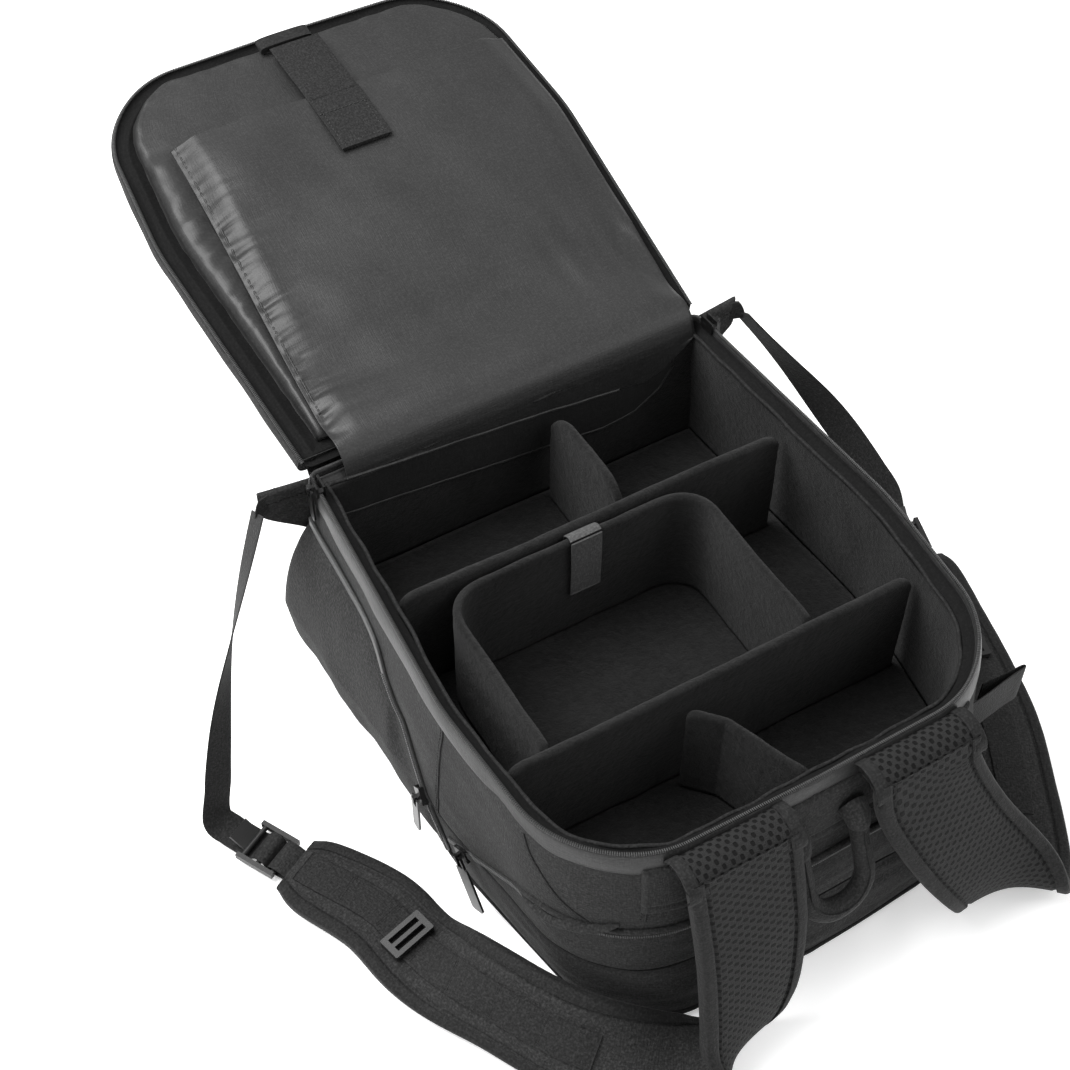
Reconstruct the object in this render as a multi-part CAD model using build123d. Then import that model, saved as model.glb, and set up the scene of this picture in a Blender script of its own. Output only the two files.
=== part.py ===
from build123d import *
import math
import os

# Camera backpack lying on its front face with the back-panel lid swung open.
# Millimetres. +Z up, +Y towards the bag's bottom end (where the lid hinges), +X to the right.
# Origin: centre of the flat front face that the bag rests on.

# ---- driving dimensions -------------------------------------------------------------------
rim_z = 190.0            # height of the zip line round the mouth
hinge_y = 193.5          # lid hinge line, at the bag's bottom end
open_length = 389.5      # mouth length, hinge to the middle of the top end
end_bow = 5.0            # how far the top end bows outwards
knee_run = 223.5         # distance from hinge to the widest point of the mouth
hinge_half, knee_half, corner_half = 165.0, 180.0, 168.0
corner_r, knee_r, hinge_r = 80.0, 220.0, 8.0
seam_z = 62.0            # seam between front compartment and main compartment
shell_wall = 2.5
liner_wall = 9.0
liner_gap = 0.3
floor_top = 70.0
liner_top = 178.0
tape_bottom = 178.2      # zip tape starts just above the main shell
bead_gap = 0.8           # each row of teeth stops this far from the zip's closing plane
bead_height = 1.4
bead_width = 3.0
tape_width = 1.2
lid_lean = 11.0          # degrees above horizontal at rest
lid_tape_depth = 7.0
divider_top = 173.0
divider_wall = 9.0
strap_wall = 10.0
webbing_width = 25.0
webbing_wall = 1.6
hinge_gap = 0.3

# Outlines of the seam and of the resting face: half widths at the bottom end, knee and top end,
# their y, how far the top end bows outwards, and the corner radii.
seam_shape = dict(halves=(172, 186, 160), ys=(195, -34, -206), bow=8, radii=(12, 220, 76))
base_shape = dict(halves=(164, 176, 146), ys=(189, -38, -210), bow=12, radii=(20, 220, 64))

os.makedirs("parts", exist_ok=True)


def save(name, solid):
    export_step(solid, f"parts/{name}.step")


def outline(halves, ys, bow, radii, grow=0.0):
    """Rounded bag outline from the bottom end to the top end, and grow moves it all outwards."""
    half_a, half_b, half_c = halves
    y_a, y_b, y_c = ys
    s = 1.0 if y_c > y_a else -1.0
    a = (half_a + grow, y_a - s * grow)
    b = (half_b + grow, y_b)
    c = (half_c + grow, y_c + s * grow)
    top = y_c + s * (bow + grow)
    edges = [
        Line((-a[0], a[1]), a),
        Line(a, b),
        Line(b, c),
        ThreePointArc(c, (0, top), (-c[0], c[1])),
        Line((-c[0], c[1]), (-b[0], b[1])),
        Line((-b[0], b[1]), (-a[0], a[1])),
    ]
    face = make_face(edges)
    for (px, py), r in zip((a, b, c), radii):
        corners = [v for v in face.vertices() if abs(abs(v.X) - px) < 0.01 and abs(v.Y - py) < 0.01]
        face = fillet(corners, max(r + grow, 0.5))
    return face


def rim_outline(grow=0.0):
    """Outline of the mouth, on the zip line."""
    ys = (hinge_y, hinge_y - knee_run, hinge_y - open_length + end_bow)
    return outline((hinge_half, knee_half, corner_half), ys, end_bow, (hinge_r, knee_r, corner_r), grow)


def seam_outline(grow=0.0):
    """Outline where the front compartment meets the main compartment."""
    return outline(**seam_shape, grow=grow)


def base_outline(grow=0.0):
    """Outline of the resting front face."""
    return outline(**base_shape, grow=grow)


def lid_outline(grow=0.0):
    """The mouth's outline laid out from the hinge along +Y, for pieces of the open lid."""
    ys = (0, knee_run, open_length - end_bow)
    return outline((hinge_half, knee_half, corner_half), ys, end_bow, (hinge_r, knee_r, corner_r), grow)


def upper_loft(grow, z0=seam_z, z1=tape_bottom - 0.2):
    """Main compartment's envelope between two heights, grown by an amount."""
    full = loft([Pos(0, 0, seam_z) * seam_outline(grow), Pos(0, 0, rim_z) * rim_outline(grow)], ruled=True)
    return full & Pos(0, 0, (z0 + z1) / 2) * Box(700, 700, z1 - z0)


def lower_loft(grow, z0=0.0, z1=seam_z):
    """Front compartment's envelope between two heights, grown by an amount."""
    full = loft([Pos(0, 0, 0) * base_outline(grow), Pos(0, 0, seam_z) * seam_outline(grow)], ruled=True)
    return full & Pos(0, 0, (z0 + z1) / 2) * Box(700, 700, z1 - z0)


def slab(outer, inner, z0, z1):
    """Flat ring between two faces."""
    ring = extrude(Pos(0, 0, z0) * outer, z1 - z0) - extrude(Pos(0, 0, z0 - 1) * inner, z1 - z0 + 2)
    return ring


def on_lid(solid):
    """Place a piece drawn flat along +Y onto the leaning lid."""
    return Pos(0, hinge_y, rim_z) * Rot(lid_lean, 0, 0) * solid


def block(x0, x1, y0, y1, z0, z1):
    return Pos((x0 + x1) / 2, (y0 + y1) / 2, (z0 + z1) / 2) * Box(x1 - x0, y1 - y0, z1 - z0)


# ---- front compartment --------------------------------------------------------------------
def front_compartment():
    panel = 3.0
    save("front_panel", lower_loft(0, 0, panel))
    wall = lower_loft(0, panel, seam_z) - lower_loft(-shell_wall, panel - 1, seam_z + 1)
    save("front_compartment_wall", wall)


# ---- main compartment ---------------------------------------------------------------------
def main_compartment():
    save("floor_board", upper_loft(-0.1, seam_z + 0.2, floor_top))
    save("main_shell", upper_loft(0, floor_top + 0.2) - upper_loft(-shell_wall, floor_top, rim_z))
    inset = shell_wall + liner_gap
    save("wall_liner", upper_loft(-inset, floor_top + 0.3, liner_top)
         - upper_loft(-inset - liner_wall, floor_top, rim_z))


def zip_side(face_of, z0, z1, grow_out, grow_in, open_side_y):
    """Strip that follows an outline round three sides and stays open along the hinge."""
    ring = slab(face_of(grow_out), face_of(grow_in), z0, z1)
    return ring - Pos(0, open_side_y, 0) * Box(700, 16, 700)


def rim_zip():
    mid = -bead_width / 2
    bead_top = rim_z - bead_gap
    save("rim_zip_tape", zip_side(rim_outline, tape_bottom, bead_top - bead_height,
                                  mid + tape_width / 2, mid - tape_width / 2, hinge_y + 2))
    rim_teeth = zip_side(rim_outline, bead_top - bead_height, bead_top, 0, -bead_width, hinge_y + 2)
    save("rim_zip_teeth", rim_teeth)


# ---- lid ----------------------------------------------------------------------------------
lid_inset = 8.0          # lining and board stop short of the zip, leaving room for the slider
board_wall = 1.5
lining_top = 0.0
lining_wall = 5.5
back_shell_wall = 9.0
mesh_wall = 9.0


def lid_pieces():
    mid = -bead_width / 2
    tape_end = -lid_tape_depth
    lid_teeth = zip_side(lid_outline, -bead_gap - bead_height, -bead_gap, 0, -bead_width, -2)
    save("lid_zip_teeth", on_lid(lid_teeth))
    save("lid_zip_tape", on_lid(zip_side(lid_outline, tape_end, -bead_gap - bead_height,
                                         mid + tape_width / 2, mid - tape_width / 2, -2)))
    trim_hinge = block(-300, 300, -20, 9, -60, 60)
    lining = extrude(Pos(0, 0, lining_top - lining_wall) * lid_outline(-lid_inset), lining_wall)
    save("lid_lining", on_lid(lining - trim_hinge))
    board_z = lining_top - lining_wall - 0.2 - board_wall
    board = extrude(Pos(0, 0, board_z) * lid_outline(-lid_inset - 4), board_wall)
    save("lid_stiffener", on_lid(board - block(-300, 300, -20, 14, -60, 60)))
    shell_z = board_z - 0.2 - back_shell_wall
    shell = extrude(Pos(0, 0, shell_z) * lid_outline(0), back_shell_wall)
    save("lid_back_shell", on_lid(shell - trim_hinge))
    pads = []
    for y0, y1 in ((28, 150), (170, 350)):
        pad = block(-138, 138, y0, y1, shell_z - 0.2 - mesh_wall, shell_z - 0.2)
        pad = fillet(pad.edges().filter_by(Axis.Z), 24)
        pad = chamfer(pad.faces().sort_by(Axis.Z)[0].edges(), 4)
        pads.append(pad)
    save("back_mesh_pads", on_lid(Compound(pads)))


hinge_roll_r = 2.2


def hinge_strip():
    """Fabric hinge: a piped roll and its flap on the lid, and the seam below it on the bag."""
    roll = Rot(0, 90, 0) * Cylinder(hinge_roll_r, 2 * hinge_half - 20)
    flap = block(-hinge_half + 10, hinge_half - 10, 0, 8.8, -2, -0.2)
    save("hinge_roll", on_lid(roll + flap))
    save("hinge_seam", block(-hinge_half + 12, hinge_half - 12, hinge_y - 2, hinge_y - 0.6, tape_bottom,
                             rim_z - hinge_roll_r - 0.5))


sleeve_x0, sleeve_x1 = -138.0, 146.0
sleeve_s0, sleeve_s1 = 18.0, 306.0
sleeve_gap = 9.0         # room for a tablet
sleeve_wall = 1.6


def tablet_sleeve():
    """Open-topped pocket on the lid's lining."""
    outer = block(sleeve_x0, sleeve_x1, sleeve_s0, sleeve_s1, 0.2, sleeve_gap + sleeve_wall)
    outer = fillet(outer.edges().filter_by(Axis.Z).group_by(Axis.Y)[0], 14)
    room = block(sleeve_x0 + 3, sleeve_x1 - 3, sleeve_s0 + 3, sleeve_s1 + 5, 0.1, sleeve_gap)
    save("tablet_sleeve", on_lid(outer - room))


tab_s = 368.0            # where the tablet strap leaves its sewn tab
tab_top = 9.0


def tablet_strap():
    """Retaining strap sewn at the lid's far edge, lying over the sleeve."""
    anchor = block(-24, 22, tab_s + 1.2, 381.5, 0.2, tab_top)
    save("tablet_strap_tab", on_lid(anchor))
    x_mid, half, rise = 4.0, 22.0, sleeve_gap + sleeve_wall + 0.6
    low, end = tab_top - 2.4, 242.0
    run = [(tab_s, low), (tab_s, low + webbing_wall), (312, rise + webbing_wall),
           (end + 44, rise + webbing_wall), (end + 44, rise + 3.2), (end, rise + 3.2),
           (end, rise), (312, rise)]
    side = Plane.YZ * make_face(Polyline(*run, close=True))
    strap = Pos(x_mid - half, 0, 0) * extrude(side, 2 * half)
    save("tablet_strap", on_lid(strap))


# ---- dividers -----------------------------------------------------------------------------
bay_floor = floor_top + 0.5


def wall_plate(x0, x1, y0, y1, top, round_top=0.0):
    plate = block(x0, x1, y0, y1, bay_floor, top)
    if round_top:
        across = Axis.Y if x1 - x0 > y1 - y0 else Axis.X
        plate = fillet(plate.edges().filter_by(across).group_by(Axis.Z)[-1], round_top)
    return plate


top_divider_y, bottom_divider_y = -86.0, 70.0
cradle_x0, cradle_x1 = -132.0, 82.0
cradle_wall = 8.0


def dividers():
    half = divider_wall / 2
    for name, end, y in (("top", 161, top_divider_y), ("bottom", 158, bottom_divider_y)):
        save(f"cross_divider_{name}", wall_plate(-end, end, y - half, y + half, divider_top, 14))
    y0 = top_divider_y + half + 0.6
    y1 = bottom_divider_y - half - 0.6
    outer = block(cradle_x0, cradle_x1, y0, y1, bay_floor, divider_top - 4)
    outer = fillet(outer.edges().filter_by(Axis.Z).group_by(Axis.Y)[-1], 32)
    inner = block(cradle_x0 + cradle_wall, cradle_x1 - cradle_wall, y0 - 20, y1 - cradle_wall, 0, 300)
    inner = fillet(inner.edges().filter_by(Axis.Z).group_by(Axis.Y)[-1], 24)
    save("camera_cradle", outer - inner)
    save("flash_divider", wall_plate(24, 32, bottom_divider_y + half + 0.6, 178, divider_top - 2, 30))
    path = Polyline((-30, top_divider_y - half - 5.2), (-12, -116), (4, -160), (12, -178))
    lens = extrude(Pos(0, 0, bay_floor) * trace(path, 7), divider_top - 12 - bay_floor)
    save("lens_divider", lens)
    flap_y = y1 - cradle_wall - 0.8
    flap = block(-29, -3, flap_y - webbing_wall, flap_y, 112, divider_top - 4)
    save("cradle_strap", flap)


# ---- front zip and side pockets -----------------------------------------------------------
def body_loft(grow):
    """Whole outside of the bag below the rim, grown by an amount."""
    return upper_loft(grow, seam_z, tape_bottom - 0.2) + lower_loft(grow, 4, seam_z)


def side_prism(points, x0, x1):
    """Polygon in side view (y, z), extruded between two x values."""
    return Pos(x0, 0, 0) * extrude(Plane.YZ * make_face(Polyline(*points, close=True)), x1 - x0)


front_zip_path = ((-44, 46), (-62, 58), (-130, 95), (-160, 105), (-260, 108))
front_zip_width = 6.0
front_zip_wall = 1.6
pocket_edge = ((186, 147), (68, 147), (42, 126), (-28, 46), (-30, 12))
pocket_zip_wall = 3.0
pocket_zip_width = 6.0
pocket_low = 8.0         # the pocket's bulge leaves room for the zip's hanging pull


def front_zip():
    strip = Plane.YZ * trace(Polyline(*front_zip_path), front_zip_width)
    band = Pos(-250, 0, 0) * extrude(strip, 500)
    save("front_zip", (body_loft(front_zip_wall) - body_loft(0.15)) & band)


def mirrored(solid):
    return mirror(solid, Plane.YZ)


def side_pockets():
    strip = Plane.YZ * trace(Polyline(*pocket_edge), pocket_zip_width)
    band = Pos(-250, 0, 0) * extrude(strip, 500)
    skin = (body_loft(pocket_zip_wall) - body_loft(0.15)) & band
    left_zip = skin & block(-260, 0, -300, 300, 0, 300)
    save("side_zip_left", left_zip)
    save("side_zip_right", mirrored(left_zip))
    points = ((185, pocket_low), (185, 139), (80, 139), (-14, pocket_low))
    bulge = side_prism(points, -240, -150) - body_loft(0.3)
    outer = Polyline((-204, 190), (-191, -40), (-100, -40), (-100, 190), close=True)
    bulge = bulge & extrude(make_face(outer), 300)
    bulge = max(bulge.solids(), key=lambda piece: piece.volume)
    save("side_pocket_left", bulge)
    save("side_pocket_right", mirrored(bulge))


# ---- zip sliders and their pulls ----------------------------------------------------------
axis_out = 2.6           # pull's pivot stands this far off the slider's outer plate
bar_r = 0.9


def pull_bridge():
    """Small arch that holds the pull; the pivot is at the origin, X is the zip's direction, Y is outwards."""
    return block(-1.5, 1.5, -axis_out - 0.3, 2.4, -2.6, 2.6) - block(-2, 2, -1.3, 1.3, -1.4, 1.4)


def pull_tab(ring_drop, tag_length, tag_width):
    """Ring and tag that hang from the bridge along -Z."""
    bar = Rot(0, 90, 0) * Cylinder(bar_r, 9)
    arms = [block(x, x + 1.6, -bar_r, bar_r, -ring_drop, bar_r) for x in (-4.5, 2.9)]
    half = tag_width / 2
    low = -ring_drop - tag_length
    tag = block(-half, half, -0.8, 0.8, low, -ring_drop)
    tag = fillet(tag.edges().filter_by(Axis.Y), min(3, half * 0.6))
    foot = block(-4.5, 4.5, -bar_r, bar_r, -ring_drop - 2, -ring_drop)
    return bar + arms[0] + arms[1] + foot + tag


def place(origin, along, out):
    """Frame on the bag: X along the zip, Y outwards, so that -Z is the way a pull hangs."""
    x, y = Vector(*along).normalized(), Vector(*out).normalized()
    z = x.cross(y)
    if z.Z < 0:
        x, z = x * -1, z * -1
    return Location(Plane(origin=origin, x_dir=x, z_dir=z))


slider_half = 6.5
rim_slider_s = 18.0      # the main sliders rest this far from the hinge line


def rim_slider(side):
    """Channel that rides both rows of teeth at the mouth, with its post in the gap between them."""
    slope = (knee_half - hinge_half) / knee_run
    x = hinge_half + slope * rim_slider_s
    plate_in = block(-slider_half, slider_half, -bead_width - 1.9, -bead_width - 0.4, -5, 5)
    plate_out = block(-slider_half, slider_half, 0.4, 1.9, -5, 5)
    post = block(-slider_half, -slider_half + 4, -bead_width - 0.5, 0.5, -0.5, 0.5)
    body = plate_in + plate_out + post + Pos(0, 1.9 + axis_out, 0) * pull_bridge()
    along, out = (-slope, -1, 0), (-1, slope, 0)
    frame = place((-x, hinge_y - rim_slider_s, rim_z), along, out)
    pull = frame * Pos(0, 1.9 + axis_out, 0) * pull_tab(9, 22, 8)
    body = frame * body
    if side > 0:
        body, pull = mirrored(body), mirrored(pull)
    return body, pull


def cap_slider(width, strip_wall, origin, along, out, tag, upright=False):
    """Slider that caps a raised zip strip, with lips down both edges; an upright pull hangs straight down."""
    clear = 1.2
    top = strip_wall + clear + 1.4
    body = block(-slider_half, slider_half, 1.7, top, -width / 2 - 2, width / 2 + 2)
    body -= block(-20, 20, 0, strip_wall + clear, -width / 2 - 0.6, width / 2 + 0.6)
    frame = place(origin, along, out)
    hang = place(origin, (0, 1, 0) if upright else along, out)
    pivot = Pos(0, top + axis_out, 0)
    return frame * body + hang * pivot * pull_bridge(), hang * pivot * pull_tab(*tag)


def sliders():
    for side, name in ((-1, "left"), (1, "right")):
        body, pull = rim_slider(side)
        save(f"main_slider_{name}", body)
        save(f"main_pull_{name}", pull)
    start, end = Vector(-181.8, -64, 59.1), Vector(-174.4, -112, 85.2)
    out = (-0.989, -0.149, 0)
    body, pull = cap_slider(front_zip_width, front_zip_wall, start, end - start, out, (9, 39, 14))
    save("front_slider", body)
    save("front_pull", pull)
    start, end = Vector(-184.7, -12.2, 64.1), Vector(-180.9, 20.7, 101.7)
    tag = (8, 30, 9)
    body, pull = cap_slider(pocket_zip_width, pocket_zip_wall, start, end - start, (-1, 0, 0), tag, True)
    save("side_slider_left", body)
    save("side_pull_left", pull)
    save("side_slider_right", mirrored(body))
    save("side_pull_right", mirrored(pull))


# ---- shoulder straps ----------------------------------------------------------------------
# Each station is a centre, a direction across the strap and a width, from the top end to the buckle.
left_strap = (
    ((-70, -214, 182), (1, 0, 0), 80),
    ((-70, -224, 160), (1, 0, 0), 80),
    ((-72, -241, 110), (1, 0.04, 0), 80),
    ((-80, -256, 58), (0.98, 0.16, 0), 79),
    ((-96, -262, 24), (0.9, 0.42, 0.05), 78),
    ((-129, -252, 13), (0.74, 0.66, 0.12), 74),
    ((-178, -211, 28), (0.62, 0.42, 0.66), 68),
    ((-213, -150, 28), (0.64, 0.4, 0.66), 66),
    ((-233, -96, 10), (0.86, 0.5, 0.05), 65),
    ((-244, -50, 9), (0.87, 0.49, 0), 64),
    ((-268, -6, 9), (0.87, 0.49, 0), 58),
    ((-278, 13, 9), (0.87, 0.49, 0), 44),
)
right_strap = (
    ((-70, -214, 182), (1, 0, 0), 80),
    ((-71, -225, 159), (1, 0, 0.02), 80),
    ((-92, -242, 110), (0.97, -0.02, 0.2), 80),
    ((-120, -254, 62), (0.97, 0.04, 0.22), 79),
    ((-144, -256, 26), (0.93, 0.34, 0.1), 78),
    ((-170, -236, 12), (0.76, 0.64, 0.05), 74),
    ((-200, -190, 14), (0.8, 0.58, 0.12), 68),
    ((-226, -142, 12), (0.86, 0.5, 0.06), 66),
    ((-242, -96, 9), (0.93, 0.36, 0), 65),
    ((-254, -50, 9), (0.95, 0.31, 0), 64),
    ((-268, -4, 9), (0.95, 0.31, 0), 58),
    ((-274, 16, 9), (0.95, 0.31, 0), 44),
)


def frames(stations):
    """Centre, across, outer normal and width at each station; the outer face looks along the normal."""
    points = [Vector(*s[0]) for s in stations]
    result = []
    for i, (centre, across, width) in enumerate(stations):
        tangent = (points[min(i + 1, len(points) - 1)] - points[max(i - 1, 0)]).normalized()
        across = Vector(*across)
        across = (across - tangent * across.dot(tangent)).normalized()
        result.append((points[i], across, across.cross(tangent).normalized(), width))
    return result


def ribbon(placed, low, high, width=None):
    """Band through the placed frames, from low to high along their normals."""
    faces = []
    for centre, across, normal, own in placed:
        half = (width or own) / 2
        corners = [centre + across * a + normal * b for a, b in
                   ((-half, low), (half, low), (half, high), (-half, high))]
        faces.append(Face(Wire.make_polygon(corners, close=True)))
    runs = [loft([a, b], ruled=True) for a, b in zip(faces, faces[1:])]
    return runs[0].fuse(*runs[1:])


daisy_lift = 0.35        # the sewn-on webbing clears the pad by this
lock_bars = (-13.0, 0.0, 13.0)
lock_bar_r = 2.0
lock_half = 17.0
wing_tip = (-204.0, 193.0, 172.0)


def ladder_lock():
    """Buckle in its own frame: X along the strap towards the bag's wing, Y across, Z up."""
    rail = 3.6
    body = block(-15, 17, -lock_half, rail - lock_half, -2.5, 2.5)
    body = body + block(-15, 17, lock_half - rail, lock_half, -2.5, 2.5)
    for x in lock_bars:
        body = body + Pos(x, 0, 0) * Rot(90, 0, 0) * Cylinder(lock_bar_r, 2 * lock_half - 2)
    tab = Pos(17, 0, 0) * Rot(0, -28, 0) * block(-3, 12, -9, 9, -1.2, 1.4)
    body = body + tab
    return body


def lock_frame(stations):
    """Buckle's frame, just past the pad's end and in line with it."""
    centre, across, normal, _ = frames(stations)[-1]
    before = frames(stations)[-2][0]
    along = (centre - before).normalized()
    origin = centre + along * 24 + Vector(0, 0, -1.5)
    return origin, along, across, normal


def chain(points, across, normal, along, origin):
    """Path in a buckle's (along, normal) plane turned into ribbon frames."""
    placed = []
    for i, (u, n) in enumerate(points):
        a, b = points[max(i - 1, 0)], points[min(i + 1, len(points) - 1)]
        du, dn = b[0] - a[0], b[1] - a[1]
        size = math.hypot(du, dn)
        turned = normal * (du / size) - along * (dn / size)
        placed.append((origin + along * u + normal * n, across, turned, webbing_width))
    return placed


def strap_set(stations, flip):
    """Pad, webbing, buckle and sternum slider of one shoulder strap, drawn on the left side."""
    placed = frames(stations)
    half = strap_wall / 2
    pad = ribbon(placed, -half, half)
    daisy = ribbon(placed[5:11], half + daisy_lift, half + daisy_lift + webbing_wall, 26)
    origin, along, across, normal = lock_frame(stations)
    lock = Location(Plane(origin=origin, x_dir=along, z_dir=normal)) * ladder_lock()
    loop = [(-23.2, 1.5), (-19, 3.5), (-13, 3.8), (-8.7, 1.2)]
    holder = ribbon(chain(loop, across, normal, along, origin), -webbing_wall / 2, webbing_wall / 2)
    tip = Vector(*wing_tip)
    start = chain([(-7.4, -3.4), (-3.4, 3.3), (3.4, 3.3), (9.6, -3.6), (19, -4.2), (34, -3.2)],
                  across, normal, along, origin)
    mid = origin + along * 46 + normal * 4
    rise = [(mid, across, (normal - along * 0.5).normalized(), webbing_width)]
    for t, turn in ((0.22, 0.75), (0.5, 0.4), (0.78, 0.15), (0.97, 0.0)):
        point = mid * (1 - t) + tip * t + Vector(-10, 0, -6) * math.sin(math.pi * t)
        side = (across * turn + Vector(0.25, 1, -0.1) * (1 - turn)).normalized()
        run = (tip - mid).normalized()
        side = (side - run * side.dot(run)).normalized()
        rise.append((point, side, side.cross(run).normalized(), webbing_width))
    webbing = ribbon(start + rise, -webbing_wall / 2, webbing_wall / 2)
    c8, _, n8, _ = placed[8]
    c9, _, n9, _ = placed[9]
    run = (c9 - c8).normalized()
    up = n8 + n9
    up = (up - run * up.dot(run)).normalized()
    top = half + daisy_lift + webbing_wall + 0.7
    spot = c8 + run * 16
    shape = block(-9, 9, -17, 17, top, top + 4) + block(-9, 9, -17, -14, top - 1.6, top) + block(
        -9, 9, 14, 17, top - 1.6, top)
    shape = fillet(shape.edges().filter_by(Axis.Z), 1.2)
    for x in (-5.5, 1.5):
        shape = shape - block(x, x + 4, -12.5, 12.5, top - 1, top + 5)
    slider = Location(Plane(origin=spot, x_dir=run, z_dir=up)) * shape
    parts = {"shoulder_pad": pad, "daisy_webbing": daisy, "ladder_lock": lock, "lock_loop": holder,
             "adjust_webbing": webbing, "sternum_slider": slider}
    return {k: mirrored(v) if flip else v for k, v in parts.items()}


def shoulder_straps():
    for name, stations, flip in (("left", left_strap, False), ("right", right_strap, True)):
        for part, solid in strap_set(stations, flip).items():
            save(f"{part}_{name}", solid)


# ---- anchors and handle -------------------------------------------------------------------
handle_x, handle_y, handle_z = 0.5, -214.0, 146.0
handle_bend = 23.0       # radius of the bottom of the U
handle_leg = 36.0
handle_lean = 24.0       # degrees that the hanging handle stands off the wall
handle_r = 6.0


def anchors():
    yoke = (body_loft(4) - body_loft(0.2)) & block(-124, 124, -300, -100, 132, 176)
    for x0 in (-110, 30):
        root = block(x0, x0 + 80, -208, -202, 168, 187)
        yoke = yoke + (root - body_loft(0.2) - block(-300, 300, -200, 300, 178, 300))
    save("strap_yoke", yoke)
    tip_y = wing_tip[1]
    sides = Polyline((-160, 176), (-201, 182), (-201, 162), (-172, 118), (-160, 112), close=True)
    wing = Pos(0, tip_y + 5, 0) * extrude(Plane.XZ * make_face(sides), 3)
    wing = wing - body_loft(0.3)
    wing = max(wing.solids(), key=lambda piece: piece.volume)
    save("strap_wing_left", wing)
    save("strap_wing_right", mirrored(wing))
    loop = block(140, 192, -177, -174, 112, 150) - body_loft(0.3)
    save("side_loop", max(loop.solids(), key=lambda piece: piece.center().X))


def grab_handle():
    lean = math.radians(handle_lean)
    out = (0, -math.cos(lean), math.sin(lean))
    down = Plane(origin=(handle_x, handle_y, handle_z), x_dir=(1, 0, 0), z_dir=out)
    r, leg = handle_bend, handle_leg
    bend = ThreePointArc((-r, -leg), (0, -leg - r), (r, -leg))
    path = down * Wire([Line((-r, 0), (-r, -leg)).edge(), bend.edge(), Line((r, -leg), (r, 0)).edge()])
    tube = sweep(Plane(origin=path @ 0, z_dir=path % 0) * Circle(handle_r), path)
    save("grab_handle", tube)


if __name__ == "__main__":
    front_compartment()
    main_compartment()
    rim_zip()
    lid_pieces()
    hinge_strip()
    tablet_sleeve()
    tablet_strap()
    dividers()
    front_zip()
    side_pockets()
    sliders()
    shoulder_straps()
    anchors()
    grab_handle()
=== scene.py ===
from mathutils import Matrix
import math
import bpy
import numpy as np


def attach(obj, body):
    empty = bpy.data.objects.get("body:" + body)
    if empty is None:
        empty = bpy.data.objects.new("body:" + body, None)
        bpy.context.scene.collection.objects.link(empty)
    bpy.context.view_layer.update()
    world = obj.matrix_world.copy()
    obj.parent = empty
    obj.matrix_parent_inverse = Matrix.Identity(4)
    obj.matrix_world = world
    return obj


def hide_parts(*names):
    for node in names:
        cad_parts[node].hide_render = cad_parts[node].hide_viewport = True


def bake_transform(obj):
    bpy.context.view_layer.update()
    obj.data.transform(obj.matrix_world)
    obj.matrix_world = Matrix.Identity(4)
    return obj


# Camera backpack, open on its front face. Lengths below are millimetres in the CAD frame:
# +Z up through the mouth, +Y towards the hinge, +X to the right. Meshes are written in metres.

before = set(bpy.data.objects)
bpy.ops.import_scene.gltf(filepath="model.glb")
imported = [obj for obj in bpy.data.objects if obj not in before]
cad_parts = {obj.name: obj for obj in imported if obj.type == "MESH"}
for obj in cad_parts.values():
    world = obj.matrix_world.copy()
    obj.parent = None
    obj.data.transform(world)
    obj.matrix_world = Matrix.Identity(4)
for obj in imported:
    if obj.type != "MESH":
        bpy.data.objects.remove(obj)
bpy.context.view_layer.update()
mm = 0.001
print("frame loaded:", len(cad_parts), "nodes")


class Signal:
    # wraps one output socket; arithmetic on it adds Math nodes
    def __init__(self, tree, socket=None):
        self.tree, self.socket = tree, socket

    def node(self, kind, settings, inputs, output=0):
        made = self.tree.nodes.new("ShaderNode" + kind)
        for key, value in settings.items():
            if key == "stops":
                ramp = made.color_ramp.elements
                while len(ramp) < len(value):
                    ramp.new(0.5)
                for stop, (position, shade) in zip(ramp, value):
                    stop.position, stop.color = position, (shade, shade, shade, 1)
            else:
                setattr(made, key, value)
        for key, value in inputs.items():
            if isinstance(value, Signal):
                self.tree.links.new(value.socket, made.inputs[key])
            else:
                made.inputs[key].default_value = value
        return Signal(self.tree, made.outputs[output])

    def math(self, operation, *values):
        return self.node("Math", {"operation": operation}, dict(enumerate(values)))

    def __add__(self, other):
        return self.math("ADD", self, other)

    def __sub__(self, other):
        return self.math("SUBTRACT", self, other)

    def __rsub__(self, other):
        return self.math("SUBTRACT", other, self)

    def __mul__(self, other):
        return self.math("MULTIPLY", self, other)

    __radd__, __rmul__ = __add__, __mul__

    def place(self, kind):
        # coordinates that a pattern is laid out in
        return self.node("TexCoord", {}, {}, kind)

    def noise(self, where, scale, detail=2.0, rough=0.5):
        return self.node("TexNoise", {}, {"Vector": where, "Scale": scale, "Detail": detail, "Roughness": rough})

    def stretch(self, where, scale):
        return self.node("Mapping", {}, {"Vector": where, "Scale": scale})

    def ramp(self, stops):
        return self.node("ValToRGB", {"stops": stops}, {0: self})

    def tint(self, dark, light):
        # blends two colours by this value
        return self.node("Mix", {"data_type": "RGBA"}, {0: self, 6: (*dark, 1), 7: (*light, 1)}, 2)

    def bump(self, strength, distance, normal=None):
        inputs = {"Strength": strength, "Distance": distance, "Height": self}
        if normal is not None:
            inputs["Normal"] = normal
        return self.node("Bump", {}, inputs)


def finish(name, paint):
    # a material whose Principled sockets come from paint: a dictionary of numbers, colours and signals
    material = bpy.data.materials.new(name)
    material.use_nodes = True
    tree = material.node_tree
    shader = tree.nodes["Principled BSDF"]
    for key, value in paint(Signal(tree)).items():
        if isinstance(value, Signal):
            tree.links.new(value.socket, shader.inputs[key])
        else:
            shader.inputs[key].default_value = value
    return material


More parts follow.
